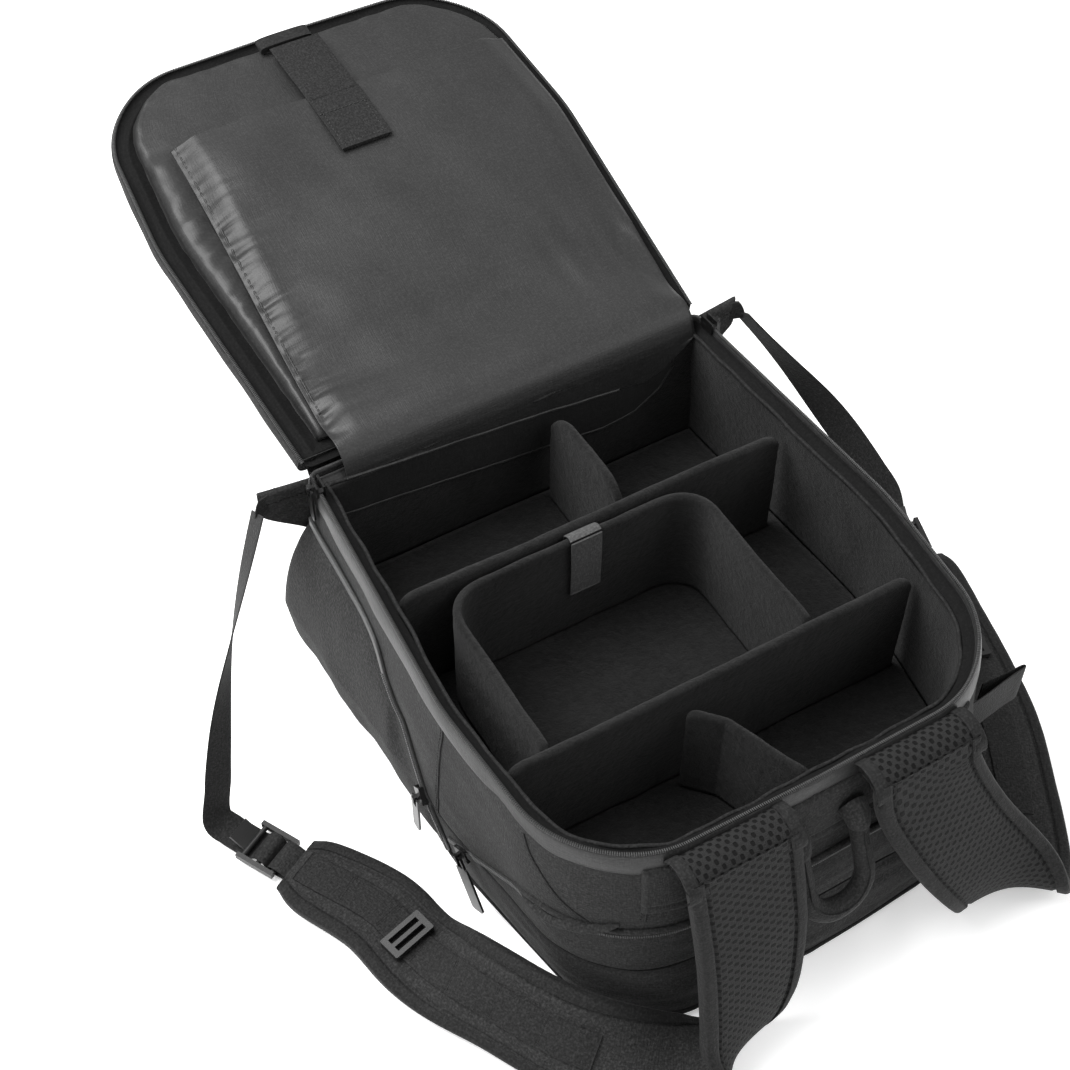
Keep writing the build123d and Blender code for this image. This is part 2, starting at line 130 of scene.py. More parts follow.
def grey(value, blue=0.0):
    return (value, value, value + blue)


def threads(root, where, fine, long):
    # crossed thread streaks: noise squeezed along one direction, then along the other
    warp = root.noise(root.stretch(where, (fine, long, fine)), 1.0, 1.0)
    weft = root.noise(root.stretch(where, (long, fine, long)), 1.0, 1.0)
    return (warp + weft) * 0.5


clothLooks = {
    # dark and light shade, roughness, fine and long threads per metre, bump depth, sheen and its roughness, gloss
    "shellFabric": (0.0045, 0.034, 0.82, 900, 230, 0.00030, 0.02, 0.5, 0.15),
    "satinLining": (0.0100, 0.0245, 0.43, 1100, 110, 0.00008, 0.04, 0.3, 0.32),
    "satinTape": (0.0100, 0.029, 0.45, 1000, 160, 0.00012, 0.04, 0.35, 0.30),
    "darkTape": (0.0020, 0.0070, 0.80, 1000, 200, 0.00015, 0.01, 0.5, 0.10),
    "webbing": (0.0025, 0.023, 0.70, 780, 320, 0.00032, 0.02, 0.5, 0.15),
    "strapGrey": (0.034, 0.085, 0.90, 900, 320, 0.00030, 0.04, 0.6, 0.15),
    "binding": (0.0025, 0.020, 0.72, 780, 300, 0.00028, 0.02, 0.5, 0.15),
}


def cloth(look):
    # woven cloth: crossed threads, flecks and worn patches blend a dark and a light shade
    dark, light, rough, fine, long, depth, sheen, sheenRough, gloss = clothLooks[look]

    def paint(root):
        where = root.place("UV")
        weave = threads(root, where, fine, long)
        body = root.place("Object")
        patches = root.noise(body, 22.0, 3.0)
        flecks = root.noise(body, 620.0, 2.0).ramp([(0.46, 0.0), (0.70, 1.0)])
        shade = weave.ramp([(0.32, 0.0), (0.68, 1.0)]) * 0.42 + patches * 0.24 + flecks * 0.55
        return {"Base Color": shade.tint(grey(dark), grey(light)),
                "Roughness": rough + (patches - 0.5) * 0.14,
                "Sheen Weight": sheen, "Sheen Roughness": sheenRough, "Specular IOR Level": gloss,
                "Normal": (weave + patches * 0.15).bump(0.75, depth * 4)}
    return finish(look, paint)


def loopFabric(root):
    # brushed nylon loops: fuzzy, matt, with darker rubbed patches
    where = root.place("Object")
    fuzz = root.noise(where, 900.0, 4.0, 0.7)
    tufts = root.noise(where, 210.0, 3.0, 0.6)
    patches = root.noise(where, 16.0, 2.0)
    shade = fuzz * 0.5 + tufts * 0.3 + patches * 0.35
    return {"Base Color": shade.ramp([(0.42, 0.0), (0.75, 1.0)]).tint(grey(0.0028), grey(0.0150)),
            "Roughness": 0.96, "Sheen Weight": 0.06, "Sheen Roughness": 0.6,
            "Specular IOR Level": 0.1,
            "Normal": (fuzz + tufts * 1.6).bump(0.9, 0.0011)}


def airMesh(root):
    # knitted spacer mesh: rows of lens-shaped holes, every other row shifted by half a hole; the holes are painted
    # near black as painted shade inside them
    where = root.place("UV")
    split = root.node("SeparateXYZ", {}, {0: where})
    along, across = split, Signal(root.tree, split.socket.node.outputs[1])
    wave = (along * (2 * math.pi / 0.0066)).math("COSINE", along * (2 * math.pi / 0.0066))
    cross = (across * (2 * math.pi / 0.0084)).math("COSINE", across * (2 * math.pi / 0.0084))
    # hole mask: where it is 1 the colour goes near black, painted shade for the depth of the holes
    holes = (wave * cross).ramp([(0.10, 0.0), (0.42, 1.0)])
    knit = root.noise(root.stretch(where, (900, 1800, 900)), 1.0, 2.0)
    shade = (1 - holes) * (0.45 + knit * 0.75)
    return {"Base Color": shade.tint(grey(0.0008), grey(0.021)), "Roughness": 0.72, "Specular IOR Level": 0.15,
            "Sheen Weight": 0.02, "Sheen Roughness": 0.5,
            "Normal": (shade + knit * 0.25).bump(1.0, 0.0016)}


def moulded(root):
    # moulded plastic: fine grain, a little paler where it is handled
    where = root.place("Object")
    grain = root.noise(where, 1900.0, 2.0)
    wear = root.noise(where, 60.0, 4.0, 0.6)
    return {"Base Color": wear.ramp([(0.45, 0.0), (0.75, 1.0)]).tint(grey(0.006), grey(0.018)),
            "Roughness": 0.36 + wear * 0.22, "Coat Weight": 0.12, "Coat Roughness": 0.25,
            "Specular IOR Level": 0.35,
            "Normal": grain.bump(0.35, 0.00012)}


def lacquer(root):
    # lacquered metal: rubbed patches show paler, half metallic
    where = root.place("Object")
    rub = root.noise(where, 260.0, 4.0, 0.65).ramp([(0.58, 0.0), (0.74, 1.0)])
    return {"Base Color": rub.tint(grey(0.010), grey(0.075, 0.003)), "Metallic": 0.5,
            "Roughness": 0.30 + rub * 0.2, "Normal": root.noise(where, 1200.0).bump(0.2, 0.0001)}


def coilTeeth(root):
    # zip coil: smooth dark plastic with paler patches
    where = root.place("Object")
    patches = root.noise(where, 300.0, 3.0)
    return {"Base Color": patches.tint(grey(0.010), grey(0.050)), "Roughness": 0.34 + patches * 0.2,
            "Normal": root.noise(where, 1500.0).bump(0.3, 0.0001)}


materials = {name: cloth(name) for name in clothLooks}
for name, paint in (("loopFabric", loopFabric), ("airMesh", airMesh), ("moulded", moulded),
                    ("lacquer", lacquer), ("coilTeeth", coilTeeth)):
    materials[name] = finish(name, paint)
print("materials made:", len(materials))


def drift(points, size, seed, waves=7):
    # smooth wander between about -1 and 1: sine waves of about one size in random directions, averaged
    dice = np.random.default_rng(seed)
    ways = dice.normal(size=(waves, 3))
    ways *= (2 * np.pi / (size * dice.uniform(0.7, 1.6, (waves, 1)))) / np.linalg.norm(ways, axis=1, keepdims=True)
    return np.sin(points @ ways.T + dice.uniform(0, 2 * np.pi, waves)).mean(-1) * 1.6


def smoothstep(value, low, high):
    share = np.clip((value - low) / (high - low), 0, 1)
    return share * share * (3 - 2 * share)


def through(keys, count):
    # Catmull-Rom curve through the key rows, at equal steps of the key number
    keys = np.asarray(keys, float)
    around = np.vstack([2 * keys[0] - keys[1], keys, 2 * keys[-1] - keys[-2]])
    s = np.linspace(0, len(keys) - 1 - 1e-9, count)
    i, f = s.astype(int), (s % 1)[:, None]
    a, b, c, d = (around[i + k] for k in range(4))
    return 0.5 * (2 * b + (c - a) * f + (2 * a - 5 * b + 4 * c - d) * f ** 2 + (3 * b - 3 * c + d - a) * f ** 3)


def unit(v):
    return v / np.maximum(np.linalg.norm(v, axis=-1, keepdims=True), 1e-9)


def heading(path):
    # direction of travel at each point of a path
    return unit(np.gradient(path, axis=0))


def distance(path):
    # length run from the path's first point to each point
    return np.concatenate([[0], np.cumsum(np.linalg.norm(np.diff(path, axis=0), axis=1))])


def sample(at, run, *rows):
    # rows of numbers given at distances run, read at the distances at
    found = [np.stack([np.interp(at, run, row[:, k]) for k in range(row.shape[1])], 1) for row in rows]
    return found if len(found) > 1 else found[0]


def square(ways, outs):
    # outs turned square to the ways
    return unit(outs - ways * (outs * ways).sum(1, keepdims=True))


def spread(x, y, z):
    # points from three arrays or numbers that fit together
    return np.stack(np.broadcast_arrays(x, y, z), -1)


def gridFaces(nu, nv, closeU, closeV, flip):
    # corner numbers of the quads between neighbours of a grid of points
    u = np.arange(nu if closeU else nu - 1)
    v = np.arange(nv if closeV else nv - 1)
    u, v = (a.ravel() for a in np.meshgrid(u, v, indexing="ij"))
    u1, v1 = (u + 1) % nu, (v + 1) % nv
    quads = np.stack([u * nv + v, u1 * nv + v, u1 * nv + v1, u * nv + v1], 1)
    return quads[:, ::-1] if flip else quads


def gridMap(points, closeU, closeV):
    # unrolled place of each grid corner, in metres: mean length along u, then along v
    def run(p, axis, close):
        steps = np.linalg.norm(np.diff(p, axis=axis), axis=2).mean(1 - axis)
        last = np.linalg.norm(np.take(p, 0, axis) - np.take(p, -1, axis), axis=1).mean() if close else 0
        return np.concatenate([[0], np.cumsum(np.append(steps, last))]) * mm
    return run(points, 0, closeU), run(points, 1, closeV)


def grid(name, points, closeU=False, closeV=False, flip=False, ends=False, pole=False):
    # mesh over points[u, v]; ends closes a tube's two ends with one face each, pole the small ring at the first v
    points = np.asarray(points, float)
    nu, nv = points.shape[:2]
    quads = gridFaces(nu, nv, closeU, closeV, flip)
    mesh = bpy.data.meshes.new(name)
    faces = quads.tolist()
    if ends:
        first, last = list(range(nv)), list(range((nu - 1) * nv, nu * nv))
        faces += [first if flip else first[::-1], last[::-1] if flip else last]
    if pole:
        ring = list(range(0, nu * nv, nv))
        faces.append(ring if flip else ring[::-1])
    mesh.from_pydata((points.reshape(-1, 3) * mm).tolist(), [], faces)
    runU, runV = gridMap(points, closeU, closeV)
    cols = np.arange(nu if closeU else nu - 1), np.arange(nv if closeV else nv - 1)
    u, v = (a.ravel() for a in np.meshgrid(*cols, indexing="ij"))
    corners = np.stack([np.stack([runU[u], runV[v]], 1), np.stack([runU[u + 1], runV[v]], 1),
                        np.stack([runU[u + 1], runV[v + 1]], 1), np.stack([runU[u], runV[v + 1]], 1)], 1)
    if flip:
        corners = corners[:, ::-1]
    flat = np.zeros((len(mesh.loops), 2), np.float32)
    flat[:len(quads) * 4] = corners.reshape(-1, 2)
    mesh.uv_layers.new(name="cut").data.foreach_set("uv", flat.ravel())
    mesh.polygons.foreach_set("use_smooth", np.ones(len(mesh.polygons), bool))
    thing = bpy.data.objects.new(name, mesh)
    bpy.context.scene.collection.objects.link(thing)
    return thing


def dress(thing, material, body, replaces=(), wall=0.0, blend=None):
    # material, optional cloth thickness, then the body that the piece rides on; a piece given blend rides on
    # neither and stays fixed where it is made, and the bodies listed in blend are not used
    thing.data.materials.append(materials[material])
    if wall:
        solid = thing.modifiers.new("cloth", "SOLIDIFY")
        solid.thickness, solid.offset = wall * mm, -1
    if blend:
        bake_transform(thing)
    else:
        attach(thing, body)
    if replaces:
        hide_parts(*replaces)
    return thing


def tubePoints(path, radius, sides=10, upright=(0, 0, 1), squeeze=1.0):
    # circles of a radius carried along a path; squeeze flattens them along the second direction
    path = np.asarray(path, float)
    along = heading(path)
    across = unit(np.cross(along, np.asarray(upright, float)))
    up = np.cross(across, along)
    turn = np.linspace(0, 2 * np.pi, sides, endpoint=False)
    radius = np.broadcast_to(np.asarray(radius, float), len(path))[:, None, None]
    return path[:, None] + radius * (across[:, None] * np.cos(turn)[:, None]
                                     + up[:, None] * (np.sin(turn) * squeeze)[:, None])


def tube(name, path, radius, sides=10, upright=(0, 0, 1), loop=False):
    return grid(name, tubePoints(path, radius, sides, upright), loop, True, True, not loop)


def bandPoints(centre, across, out, half, wall, count=17):
    # flat band with rounded edges: a stadium outline carried along the centre line
    turn = np.linspace(0, 2 * np.pi, 4 * count, endpoint=False)
    side = np.sign(np.cos(turn)) * np.abs(np.cos(turn)) ** 0.55
    lift = np.sign(np.sin(turn)) * np.abs(np.sin(turn)) ** 0.45
    half = np.broadcast_to(np.asarray(half, float), len(centre))[:, None, None]
    return centre[:, None] + across[:, None] * side[:, None] * half + out[:, None] * (lift * (wall / 2))[:, None]


def strip(name, line, wide, out, half, wall, body, replaces=(), flip=1.0, turned=False, count=17, cloth="webbing"):
    # closed band of webbing along a line; flip mirrors it and turned swaps its winding to match
    band = bandPoints(line, wide, out, half, wall, count=count) * flip
    return dress(grid(name, band, False, True, not turned, True), cloth, body, replaces)


def scatter(name, shape, centres, ways, outs):
    # copies of a small box: its x goes along each way, its y along each out, its z across both
    sides = np.cross(ways, outs)
    frames = np.stack([ways, outs, sides], 1)
    placed = centres[:, None] + shape @ frames
    mesh = bpy.data.meshes.new(name)
    shift = np.arange(len(centres))[:, None, None] * len(shape)
    mesh.from_pydata((placed.reshape(-1, 3) * mm).tolist(), [], (np.array(boxFaces)[None] + shift).reshape(-1,
            4).tolist())
    mesh.polygons.foreach_set("use_smooth", np.ones(len(mesh.polygons), bool))
    thing = bpy.data.objects.new(name, mesh)
    bpy.context.scene.collection.objects.link(thing)
    return thing


boxFaces = [(0, 3, 2, 1), (4, 5, 6, 7), (0, 1, 5, 4), (1, 2, 6, 5), (2, 3, 7, 6), (3, 0, 4, 7)]


def boxCorners(x, y, z):
    return np.array([(-x, -y, -z), (x, -y, -z), (x, y, -z), (-x, y, -z), (-x, -y, z), (x, -y, z), (x, y, z),
                     (-x, y, z)])


def stitches(name, path, outs, body, pitch=3.2, length=2.0, thick=0.28, material="webbing"):
    # a row of thread dashes along a path
    path = np.asarray(path, float)
    run = distance(path)
    at = np.arange(pitch / 2, run[-1], pitch)
    centres, ways, outs = sample(at, run, path, np.gradient(path, axis=0), np.broadcast_to(outs, path.shape))
    ways = unit(ways)
    outs = square(ways, outs)
    shape = boxCorners(length / 2, thick, thick)
    shape[:, 1] -= thick * 0.8
    thing = scatter(name, shape, centres, ways, outs)
    return dress(thing, material, body)


def roundedHalf(corners, radii):
    # right half of an outline: straight runs joined by arcs of the given radii
    points = [corners[0]]
    for before, corner, after, radius in zip(corners, corners[1:], corners[2:], radii):
        u, v = unit(before - corner), unit(after - corner)
        half = math.acos(float(np.clip(u @ v, -1, 1))) / 2
        centre = corner + unit(u + v) * radius / math.sin(half)
        start, end = corner + u * radius / math.tan(half), corner + v * radius / math.tan(half)
        share = np.linspace(0, 1, 24)[:, None]
        points += list(centre + unit((start - centre) * (1 - share) + (end - centre) * share) * radius)
    return np.array(points + [corners[-1]])


def outline(halves, ys, bow, radii, grow=0.0, count=1600):
    # closed outline at equal steps, from the middle of the hinge side through +X
    way = 1.0 if ys[2] > ys[0] else -1.0
    grown = [(halves[0] + grow, ys[0] - way * grow), (halves[1] + grow, ys[1]),
             (halves[2] + grow, ys[2] + way * grow)]
    corners = np.array([(0, grown[0][1]), *grown, (0, grown[2][1])], float)
    half = roundedHalf(corners, [max(r + grow, 0.5) for r in radii])
    far = np.abs(half[:, 1] - ys[0]) - abs(ys[2] - ys[0])
    half[:, 1] += way * bow * smoothstep(far, -40, 0) * np.clip(1 - (half[:, 0] / grown[2][0]) ** 2, 0, 1)
    whole = np.vstack([half, (half * (-1, 1))[-2:0:-1], half[:1]])
    run = distance(whole)
    at = np.linspace(0, run[-1], count + 1)
    return sample(at, run, whole)


mouth = {"halves": (165, 180, 168), "ys": (193.5, -30, -191), "bow": 5, "radii": (8, 220, 80)}
seam = {"halves": (172, 186, 160), "ys": (195, -34, -206), "bow": 8, "radii": (12, 220, 76)}
foot = {"halves": (164, 176, 146), "ys": (189, -38, -210), "bow": 12, "radii": (20, 220, 64)}
rimZ, seamZ = 190.0, 62.0
rings = [outline(**shape) for shape in (foot, seam, mouth)]
ringSteps = np.linspace(0, 1, len(rings[0]))


def wallFrame(t, z):
    # point on the flat wall and its outward direction: the outline at fraction t, between foot, seam and mouth by
    # height
    t, z = np.broadcast_arrays(np.asarray(t, float), np.asarray(z, float))
    t = t % 1
    low, high = np.clip(z / seamZ, 0, 1), np.clip((z - seamZ) / (rimZ - seamZ), 0, 1.1)
    weights = (1 - low, low * (1 - high), high)
    place = [sum(w * np.interp(t, ringSteps, ring[:, k]) for w, ring in zip(weights, rings)) for k in (0, 1)]
    step = 0.002
    ahead = [sum(w * (np.interp((t + step) % 1, ringSteps, ring[:, k]) - np.interp((t - step) % 1, ringSteps,
            ring[:, k]))
                 for w, ring in zip(weights, rings)) for k in (0, 1)]
    out = unit(np.stack([-ahead[1], ahead[0], np.zeros_like(z)], -1))
    return np.stack([place[0], place[1], z], -1), out


sliderRuns = (((-64, 59), (-112, 85)), ((-12, 64), (21, 102)), ((176, 190), (26, 190)))


def calm(points):
    # 0 at the zip sliders' runs on the side walls, rising to 1 away from them
    result = np.ones(points.shape[:-1])
    yz = points[..., 1:]
    for a, b in sliderRuns:
        a, b = np.array(a, float), np.array(b, float)
        share = np.clip(((yz - a) @ (b - a)) / ((b - a) @ (b - a)), 0, 1)[..., None]
        away = np.linalg.norm(yz - a - share * (b - a), axis=-1)
        result *= np.where(np.abs(points[..., 0]) > 140, 1 - np.exp(-(away / 20) ** 2), 1)
    return result


wallSoft = {"lowSwell": 2.6, "highSwell": 2.4, "seamPinch": 1.6, "slump": 1.4, "wrinkles": 0.9}


def puff(points, z):
    # how far the padded wall swells and wrinkles: a half sine below and above the seam, wandering folds, a pinch at
    # the seam
    lower = wallSoft["lowSwell"] * np.sin(np.pi * np.clip(z / seamZ, 0, 1)) ** 0.7
    upper = wallSoft["highSwell"] * np.sin(np.pi * np.clip((z - seamZ) / (rimZ - 8 - seamZ), 0, 1)) ** 0.8
    pinch = wallSoft["seamPinch"] * np.exp(-((z - seamZ) / 2.4) ** 2)
    squash = points * (0.6, 0.6, 1.1)
    folds = drift(squash, 52, 3) * wallSoft["wrinkles"] + drift(points * (1, 1, 1.5), 34, 4) * 0.4
    folds = folds + drift(points, 130, 5) * wallSoft["slump"]
    front = smoothstep(-points[..., 1], 60, 170) * smoothstep(108 - z, 0, 26)
    folds = folds + front * np.abs(drift(points * (0.5, 0.5, 1.5), 34, 6)) * 1.8
    fade = smoothstep(z, 2, 16) * smoothstep(188 - z, 2, 24)
    return calm(points) * (lower + upper + folds * fade) - pinch


def wall(t, z, out=0.0):
    # point on the soft outer wall, lifted off it by out
    points, away = wallFrame(t, z)
    lift = puff(points, points[..., 2]) + out
    return points + away * lift[..., None]


def onWall(x, y, z):
    # outline fraction of the wall point nearest to (x, y) at a height
    found = []
    for px, py, pz in np.stack(np.broadcast_arrays(x, y, z), -1).reshape(-1, 3).astype(float):
        ring = wallFrame(ringSteps[:-1], pz)[0]
        found.append(ringSteps[np.argmin((ring[:, 0] - px) ** 2 + (ring[:, 1] - py) ** 2)])
    return np.array(found)


def wallPath(keys, count, out=0.0):
    # curve on the wall through (x, y, z) keys: their outline fractions and heights joined smoothly
    keys = np.asarray(keys, float)
    t = np.unwrap(onWall(keys[:, 0], keys[:, 1], keys[:, 2]), period=1)
    line = through(np.stack([t, keys[:, 2]], 1), count)
    _, away = wallFrame(line[:, 0], line[:, 1])
    return wall(line[:, 0], line[:, 1], out), away


def bagShell():
    # outer fabric: the wall surface from a rolled lower edge up to the zip tape
    t = np.linspace(0, 1, 600, endpoint=False)[:, None]
    edge = [(0.7, -13), (0.6, -7), (1.5, -2.4), (4.5, -0.3)]
    heights = np.concatenate([[z for z, _ in edge], np.linspace(8, 181, 52), [182.4, 182.8]])
    inset = np.concatenate([[o for _, o in edge], np.zeros(52), [-0.7, -2.4]])
    shell = grid("bag_shell", wall(t, heights[None], inset[None]), True, False, True)
    dress(shell, "shellFabric", "bag", ("main_shell", "front_compartment_wall"), wall=1.2)
    r = np.linspace(0.02, 1, 24)[None]
    ring, _ = wallFrame(t[::2], 0.0)
    flat = ring * (r[..., None] * 0.93)
    flat[..., 2] = 1.0 + 0.35 * drift(flat, 40, 8)
    base = grid("front_panel_fabric", np.maximum(flat, (-999, -999, 0.5)), True, False, False, pole=True)
    dress(base, "shellFabric", "bag", ("front_panel",), wall=0.4)


rimTape = {"wander": 0.9, "ripple": 0.35, "piping": 1.5, "thick": 0.5}


def bandRim():
    # satin zip tape folded over the mouth: outer face, ridge under the teeth, inner face, liner's rolled edge
    t = np.linspace(0.0, 1, 620, endpoint=False)[:, None]
    profile = through([(0.5, 171), (-1.0, 172), (-1.3, 177), (-0.9, 182.5), (-0.1, 186.2), (0.9, 187.6),
                       (2.2, 187.6),
                       (3.2, 186.2), (4.0, 183.6), (6.4, 181.0), (9.4, 179.4), (11.4, 178.2), (11.8, 175)], 44)
    points, away = wallFrame(t, profile[None, :, 1])
    soft = smoothstep(188 - profile[:, 1], 2, 10)[None] * (0.35 + 0.65 * calm(points))
    sway = (drift(points, 60, 11) * rimTape["wander"] + drift(points, 23, 12) * rimTape["ripple"]) * soft
    points = points - away * (profile[None, :, 0] + sway)[..., None]
    points[..., 2] += sway * 0.6
    outer = profile[:, 0].argmin() + 22
    skin = grid("rim_satin_tape", points[:, :outer], True, False, True)
    dress(skin, "satinTape", "bag", ("rim_zip_tape",), wall=rimTape["thick"])
    inner = grid("rim_inner_tape", points[:, outer - 1:], True, False, True)
    dress(inner, "darkTape", "bag", wall=rimTape["thick"])
    line, out = wallFrame(t[:, 0], 178.6)
    wave = drift(line, 30, 13) * 0.9 + drift(line, 75, 14) * 1.1
    line = line - out * (12.0 + wave)[:, None]
    line[:, 2] += drift(line, 42, 15) * 0.9
    piping = tube("liner_piping", line, rimTape["piping"], 8, loop=True)
    dress(piping, "binding", "bag")


zipTeeth = {"mouthPitch": 1.45, "wallPitch": 1.5}


def coil(name, ring, body, replaces=(), place=None):
    # two-sided coil teeth: small beads across the zip's edge, evenly spaced along a path
    run = distance(ring)
    at = np.arange(0, run[-1], zipTeeth["mouthPitch"])
    centres, ways = sample(at, run, ring, np.gradient(ring, axis=0))
    ways = unit(ways)
    outs = np.broadcast_to((0.0, 0.0, 1.0), centres.shape)
    shape = boxCorners(0.46, 0.62, 1.45)
    shape[4:, 0] += 0.25
    shape[[2, 3, 6, 7], 0] *= 0.55
    shape[[2, 3, 6, 7], 2] *= 0.7
    if place is not None:
        centres, ways, outs = place(centres), place(ways, True), place(outs, True)
    thing = scatter(name, shape, centres, ways, unit(outs))
    return dress(thing, "coilTeeth", body, replaces)


def openEnd(points, limit):
    # drops the stretch along the hinge from a closed path that starts in the middle of it
    keep = points[:, 1] < limit
    first = int(np.argmax(keep))
    return points[first:len(keep) - int(np.argmax(keep[::-1]))]


def mouthTeeth():
    # the row along the mouth, left open at the hinge: the outline moved in under the band
    ring, out = wallFrame(np.linspace(0, 1, 1500), 188.3)
    coil("rim_coil", openEnd(ring - out * 1.5, 186), "bag", replaces=("rim_zip_teeth",))


linerPad = {"swell": 1.3, "dimples": 0.7, "floorSwell": 0.9, "cloth": 0.8}


def liner():
    # padded wall liner: loop fabric with soft swells and puckers, rounding over under the piping
    t = np.linspace(0, 1, 440, endpoint=False)[:, None]
    rows = through([(11.8, 70.2), (11.8, 90), (11.8, 120), (11.8, 150), (11.9, 170), (11.2, 175.6), (8.5, 177.8),
                    (5, 178)], 50)
    points, away = wallFrame(t, rows[None, :, 1])
    fade = smoothstep(rows[:, 1], 72, 95)[None]
    swell = (drift(points, 70, 21) * linerPad["swell"]
             + drift(points * (1, 1, 0.5), 30, 22) * linerPad["dimples"]) * fade
    points = points - away * (rows[None, :, 0] + swell * smoothstep(178 - rows[:, 1], 0, 6)[None])[..., None]
    skin = grid("liner_wall", points, True, False, False)
    dress(skin, "loopFabric", "bag", ("wall_liner",), wall=linerPad["cloth"])
    r = np.linspace(0.01, 1, 44)[None]
    ring, out = wallFrame(t[::2], 70.0)
    flat = (ring - out * 11.5) * r[..., None]
    flat[..., 2] = 68.5 + linerPad["floorSwell"] * drift(flat * (1, 1, 0), 90, 23) + 0.4 * drift(flat * (1, 1, 0),
            30, 24)
    floor = grid("liner_floor", flat, True, False, False, pole=True)
    dress(floor, "loopFabric", "bag", ("floor_board",), wall=linerPad["cloth"])


bagShell()
bandRim()
mouthTeeth()
liner()
print("bag body made")


hingeY, lidLean = 193.5, math.radians(11)
lidEnd, lidStart = 389.5, 9.5


def onLid(points, way=False):
    # lid's own (x across, s away from the hinge, n off the lining) to the bag's frame
    x, s, n = np.moveaxis(np.asarray(points, float), -1, 0)
    y, z = s * math.cos(lidLean) - n * math.sin(lidLean), s * math.sin(lidLean) + n * math.cos(lidLean)
    return np.stack([x, y, z] if way else [x, y + hingeY, z + rimZ], -1)


def lidRing(t, d, n):
    # point of the lid's outline at fraction t, moved in by d and up by n
    t, d, n = np.broadcast_arrays(t, d, n)
    points, away = wallFrame(t, rimZ)
    points = points - away * d[..., None]
    return np.stack([points[..., 0], hingeY - points[..., 1], n], -1)


def lidHalf(s, inset, top=10.0):
    # half width of the lid at a distance from the hinge, for an outline moved in by inset at the sides and top at
    # the end
    ring = outline(**mouth, grow=-inset)[:801]
    reach = hingeY - ring[:, 1]
    return np.interp(s * (reach[-1] / (lidEnd - top)), reach, ring[:, 0])


lidSoft = {"flangeWander": 0.9, "sideWaves": 0.8, "backSwell": 0.9}


def lidBand():
    # dark zip tape and flange round the lid, then the outer fabric down to the back panel
    t = np.linspace(0, 1, 640, endpoint=False)[:, None]
    profile = through([(2.6, -2.7), (4.5, -4.4), (8.5, -4.9), (12, -3.0), (15, -4.4), (19, -6.0), (24, -6.2)], 26)
    points = lidRing(t, profile[None, :, 0], profile[None, :, 1])
    sway = drift(points, 70, 31) * lidSoft["flangeWander"] + drift(points, 28, 32) * 0.5
    points[..., 2] += sway * smoothstep(profile[:, 0], 3, 10)[None]
    inner = grid("lid_flange", onLid(points[12:-12]), False, False, False)
    dress(inner, "darkTape", "lid", ("lid_zip_tape",), wall=0.5)
    rows = through([(0.5, -2.4), (-0.6, -3.2), (-1.2, -6), (-1.5, -9.5), (-0.8, -13), (2, -15.6), (7, -16.6),
                    (12, -16.5)], 24)
    points = lidRing(t, rows[None, :, 0], rows[None, :, 1])
    wave = drift(points, 60, 33) * lidSoft["sideWaves"] * smoothstep(-rows[:, 1], 3, 8)[None]
    outward = unit(points - points.mean(0, keepdims=True)) * (1, 1, 0)
    points = points + outward * wave[..., None]
    points[..., 1] = np.maximum(points[..., 1], lidStart)
    side = grid("lid_side_fabric", onLid(points), True, False, True)
    dress(side, "shellFabric", "lid", ("lid_back_shell",), wall=0.6)
    r = np.linspace(0.02, 1, 26)[None, :, None]
    ring = lidRing(t, 11.0, -16.5)
    flat = (ring - (0, 196, 0)) * r * (1, 1, 0) + (0, 196, 0)
    flat[..., 1] = np.maximum(flat[..., 1], lidStart)
    flat[..., 2] = -16.5 - lidSoft["backSwell"] * drift(flat, 80, 34) * (1 - r[..., 0] ** 6)
    back = grid("lid_back_fabric", onLid(flat), True, False, False, pole=True)
    dress(back, "shellFabric", "lid", ("lid_stiffener",), wall=0.5)
    ring = lidRing(np.linspace(0, 1, 1500), 1.5, -1.5)
    keep = ring[:, 1] > 7
    first = int(np.argmax(keep))
    ring = ring[first:len(keep) - int(np.argmax(keep[::-1]))]
    coil("lid_coil", ring, "lid", replaces=("lid_zip_teeth",), place=onLid)


lining = {"waves": 0.55, "gusset": 4.4, "crease": 2.6, "frill": 1.1}


def satinWaves(x, s):
    # broad soft undulations of loose lining
    at = spread(x, s, 0)
    return drift(at, 150, 41) * 1.9 + drift(at * (1, 0.6, 1), 60, 42) * 1.0 + drift(at, 24, 43) * 0.2


def lidLining():
    # satin lining: rows across the lid between its left and right edges; a puffed, creased gusset runs down the
    # left
    v = np.linspace(0, 1, 210)
    s = 4 + (lidEnd - 10 - 4) * (1 - (1 - v) ** 2.0)
    u = np.linspace(0, 1, 150)[None]
    left, right = -lidHalf(s, 19.5)[:, None], lidHalf(s, 7.0)[:, None]
    x = left + (right - left) * u
    s = np.broadcast_to(s[:, None], x.shape)
    edge = np.minimum(np.minimum(x - left, right - x), (lidEnd - 10 - s))
    frill = drift(spread(x, s, 0), 18, 44) * np.exp(-edge / 7) * lining["frill"]
    gusset = np.clip((x - left) / np.maximum(seamX(s) - left, 1), 0, 1)
    inGusset = smoothstep(312 - s, 0, 20) * smoothstep(s, 6, 40)
    crease = drift(spread(x * 0.5, s, 0), 30, 45) * 1.6
    crease = crease + seamPuckers(x, s) * lining["crease"] * smoothstep(gusset, 0.1, 0.9)
    puffed = np.sin(np.pi * gusset) ** 0.9 * (lining["gusset"] + crease * smoothstep(300 - s, 0, 100)) * inGusset
    waves = satinWaves(x, s) * lining["waves"] * smoothstep(edge, 2, 25)
    n = -5.2 + 4.9 * smoothstep(edge, -0.5, 5.5) + frill + waves + puffed
    n = np.where((x > seamX(s) + 8) & (s < 296), np.minimum(n, 0.4), n)
    sheet = grid("lid_lining_satin", onLid(np.stack([x, s, n], -1)), False, False, False)
    dress(sheet, "satinLining", "lid", ("lid_lining",), wall=0.5)


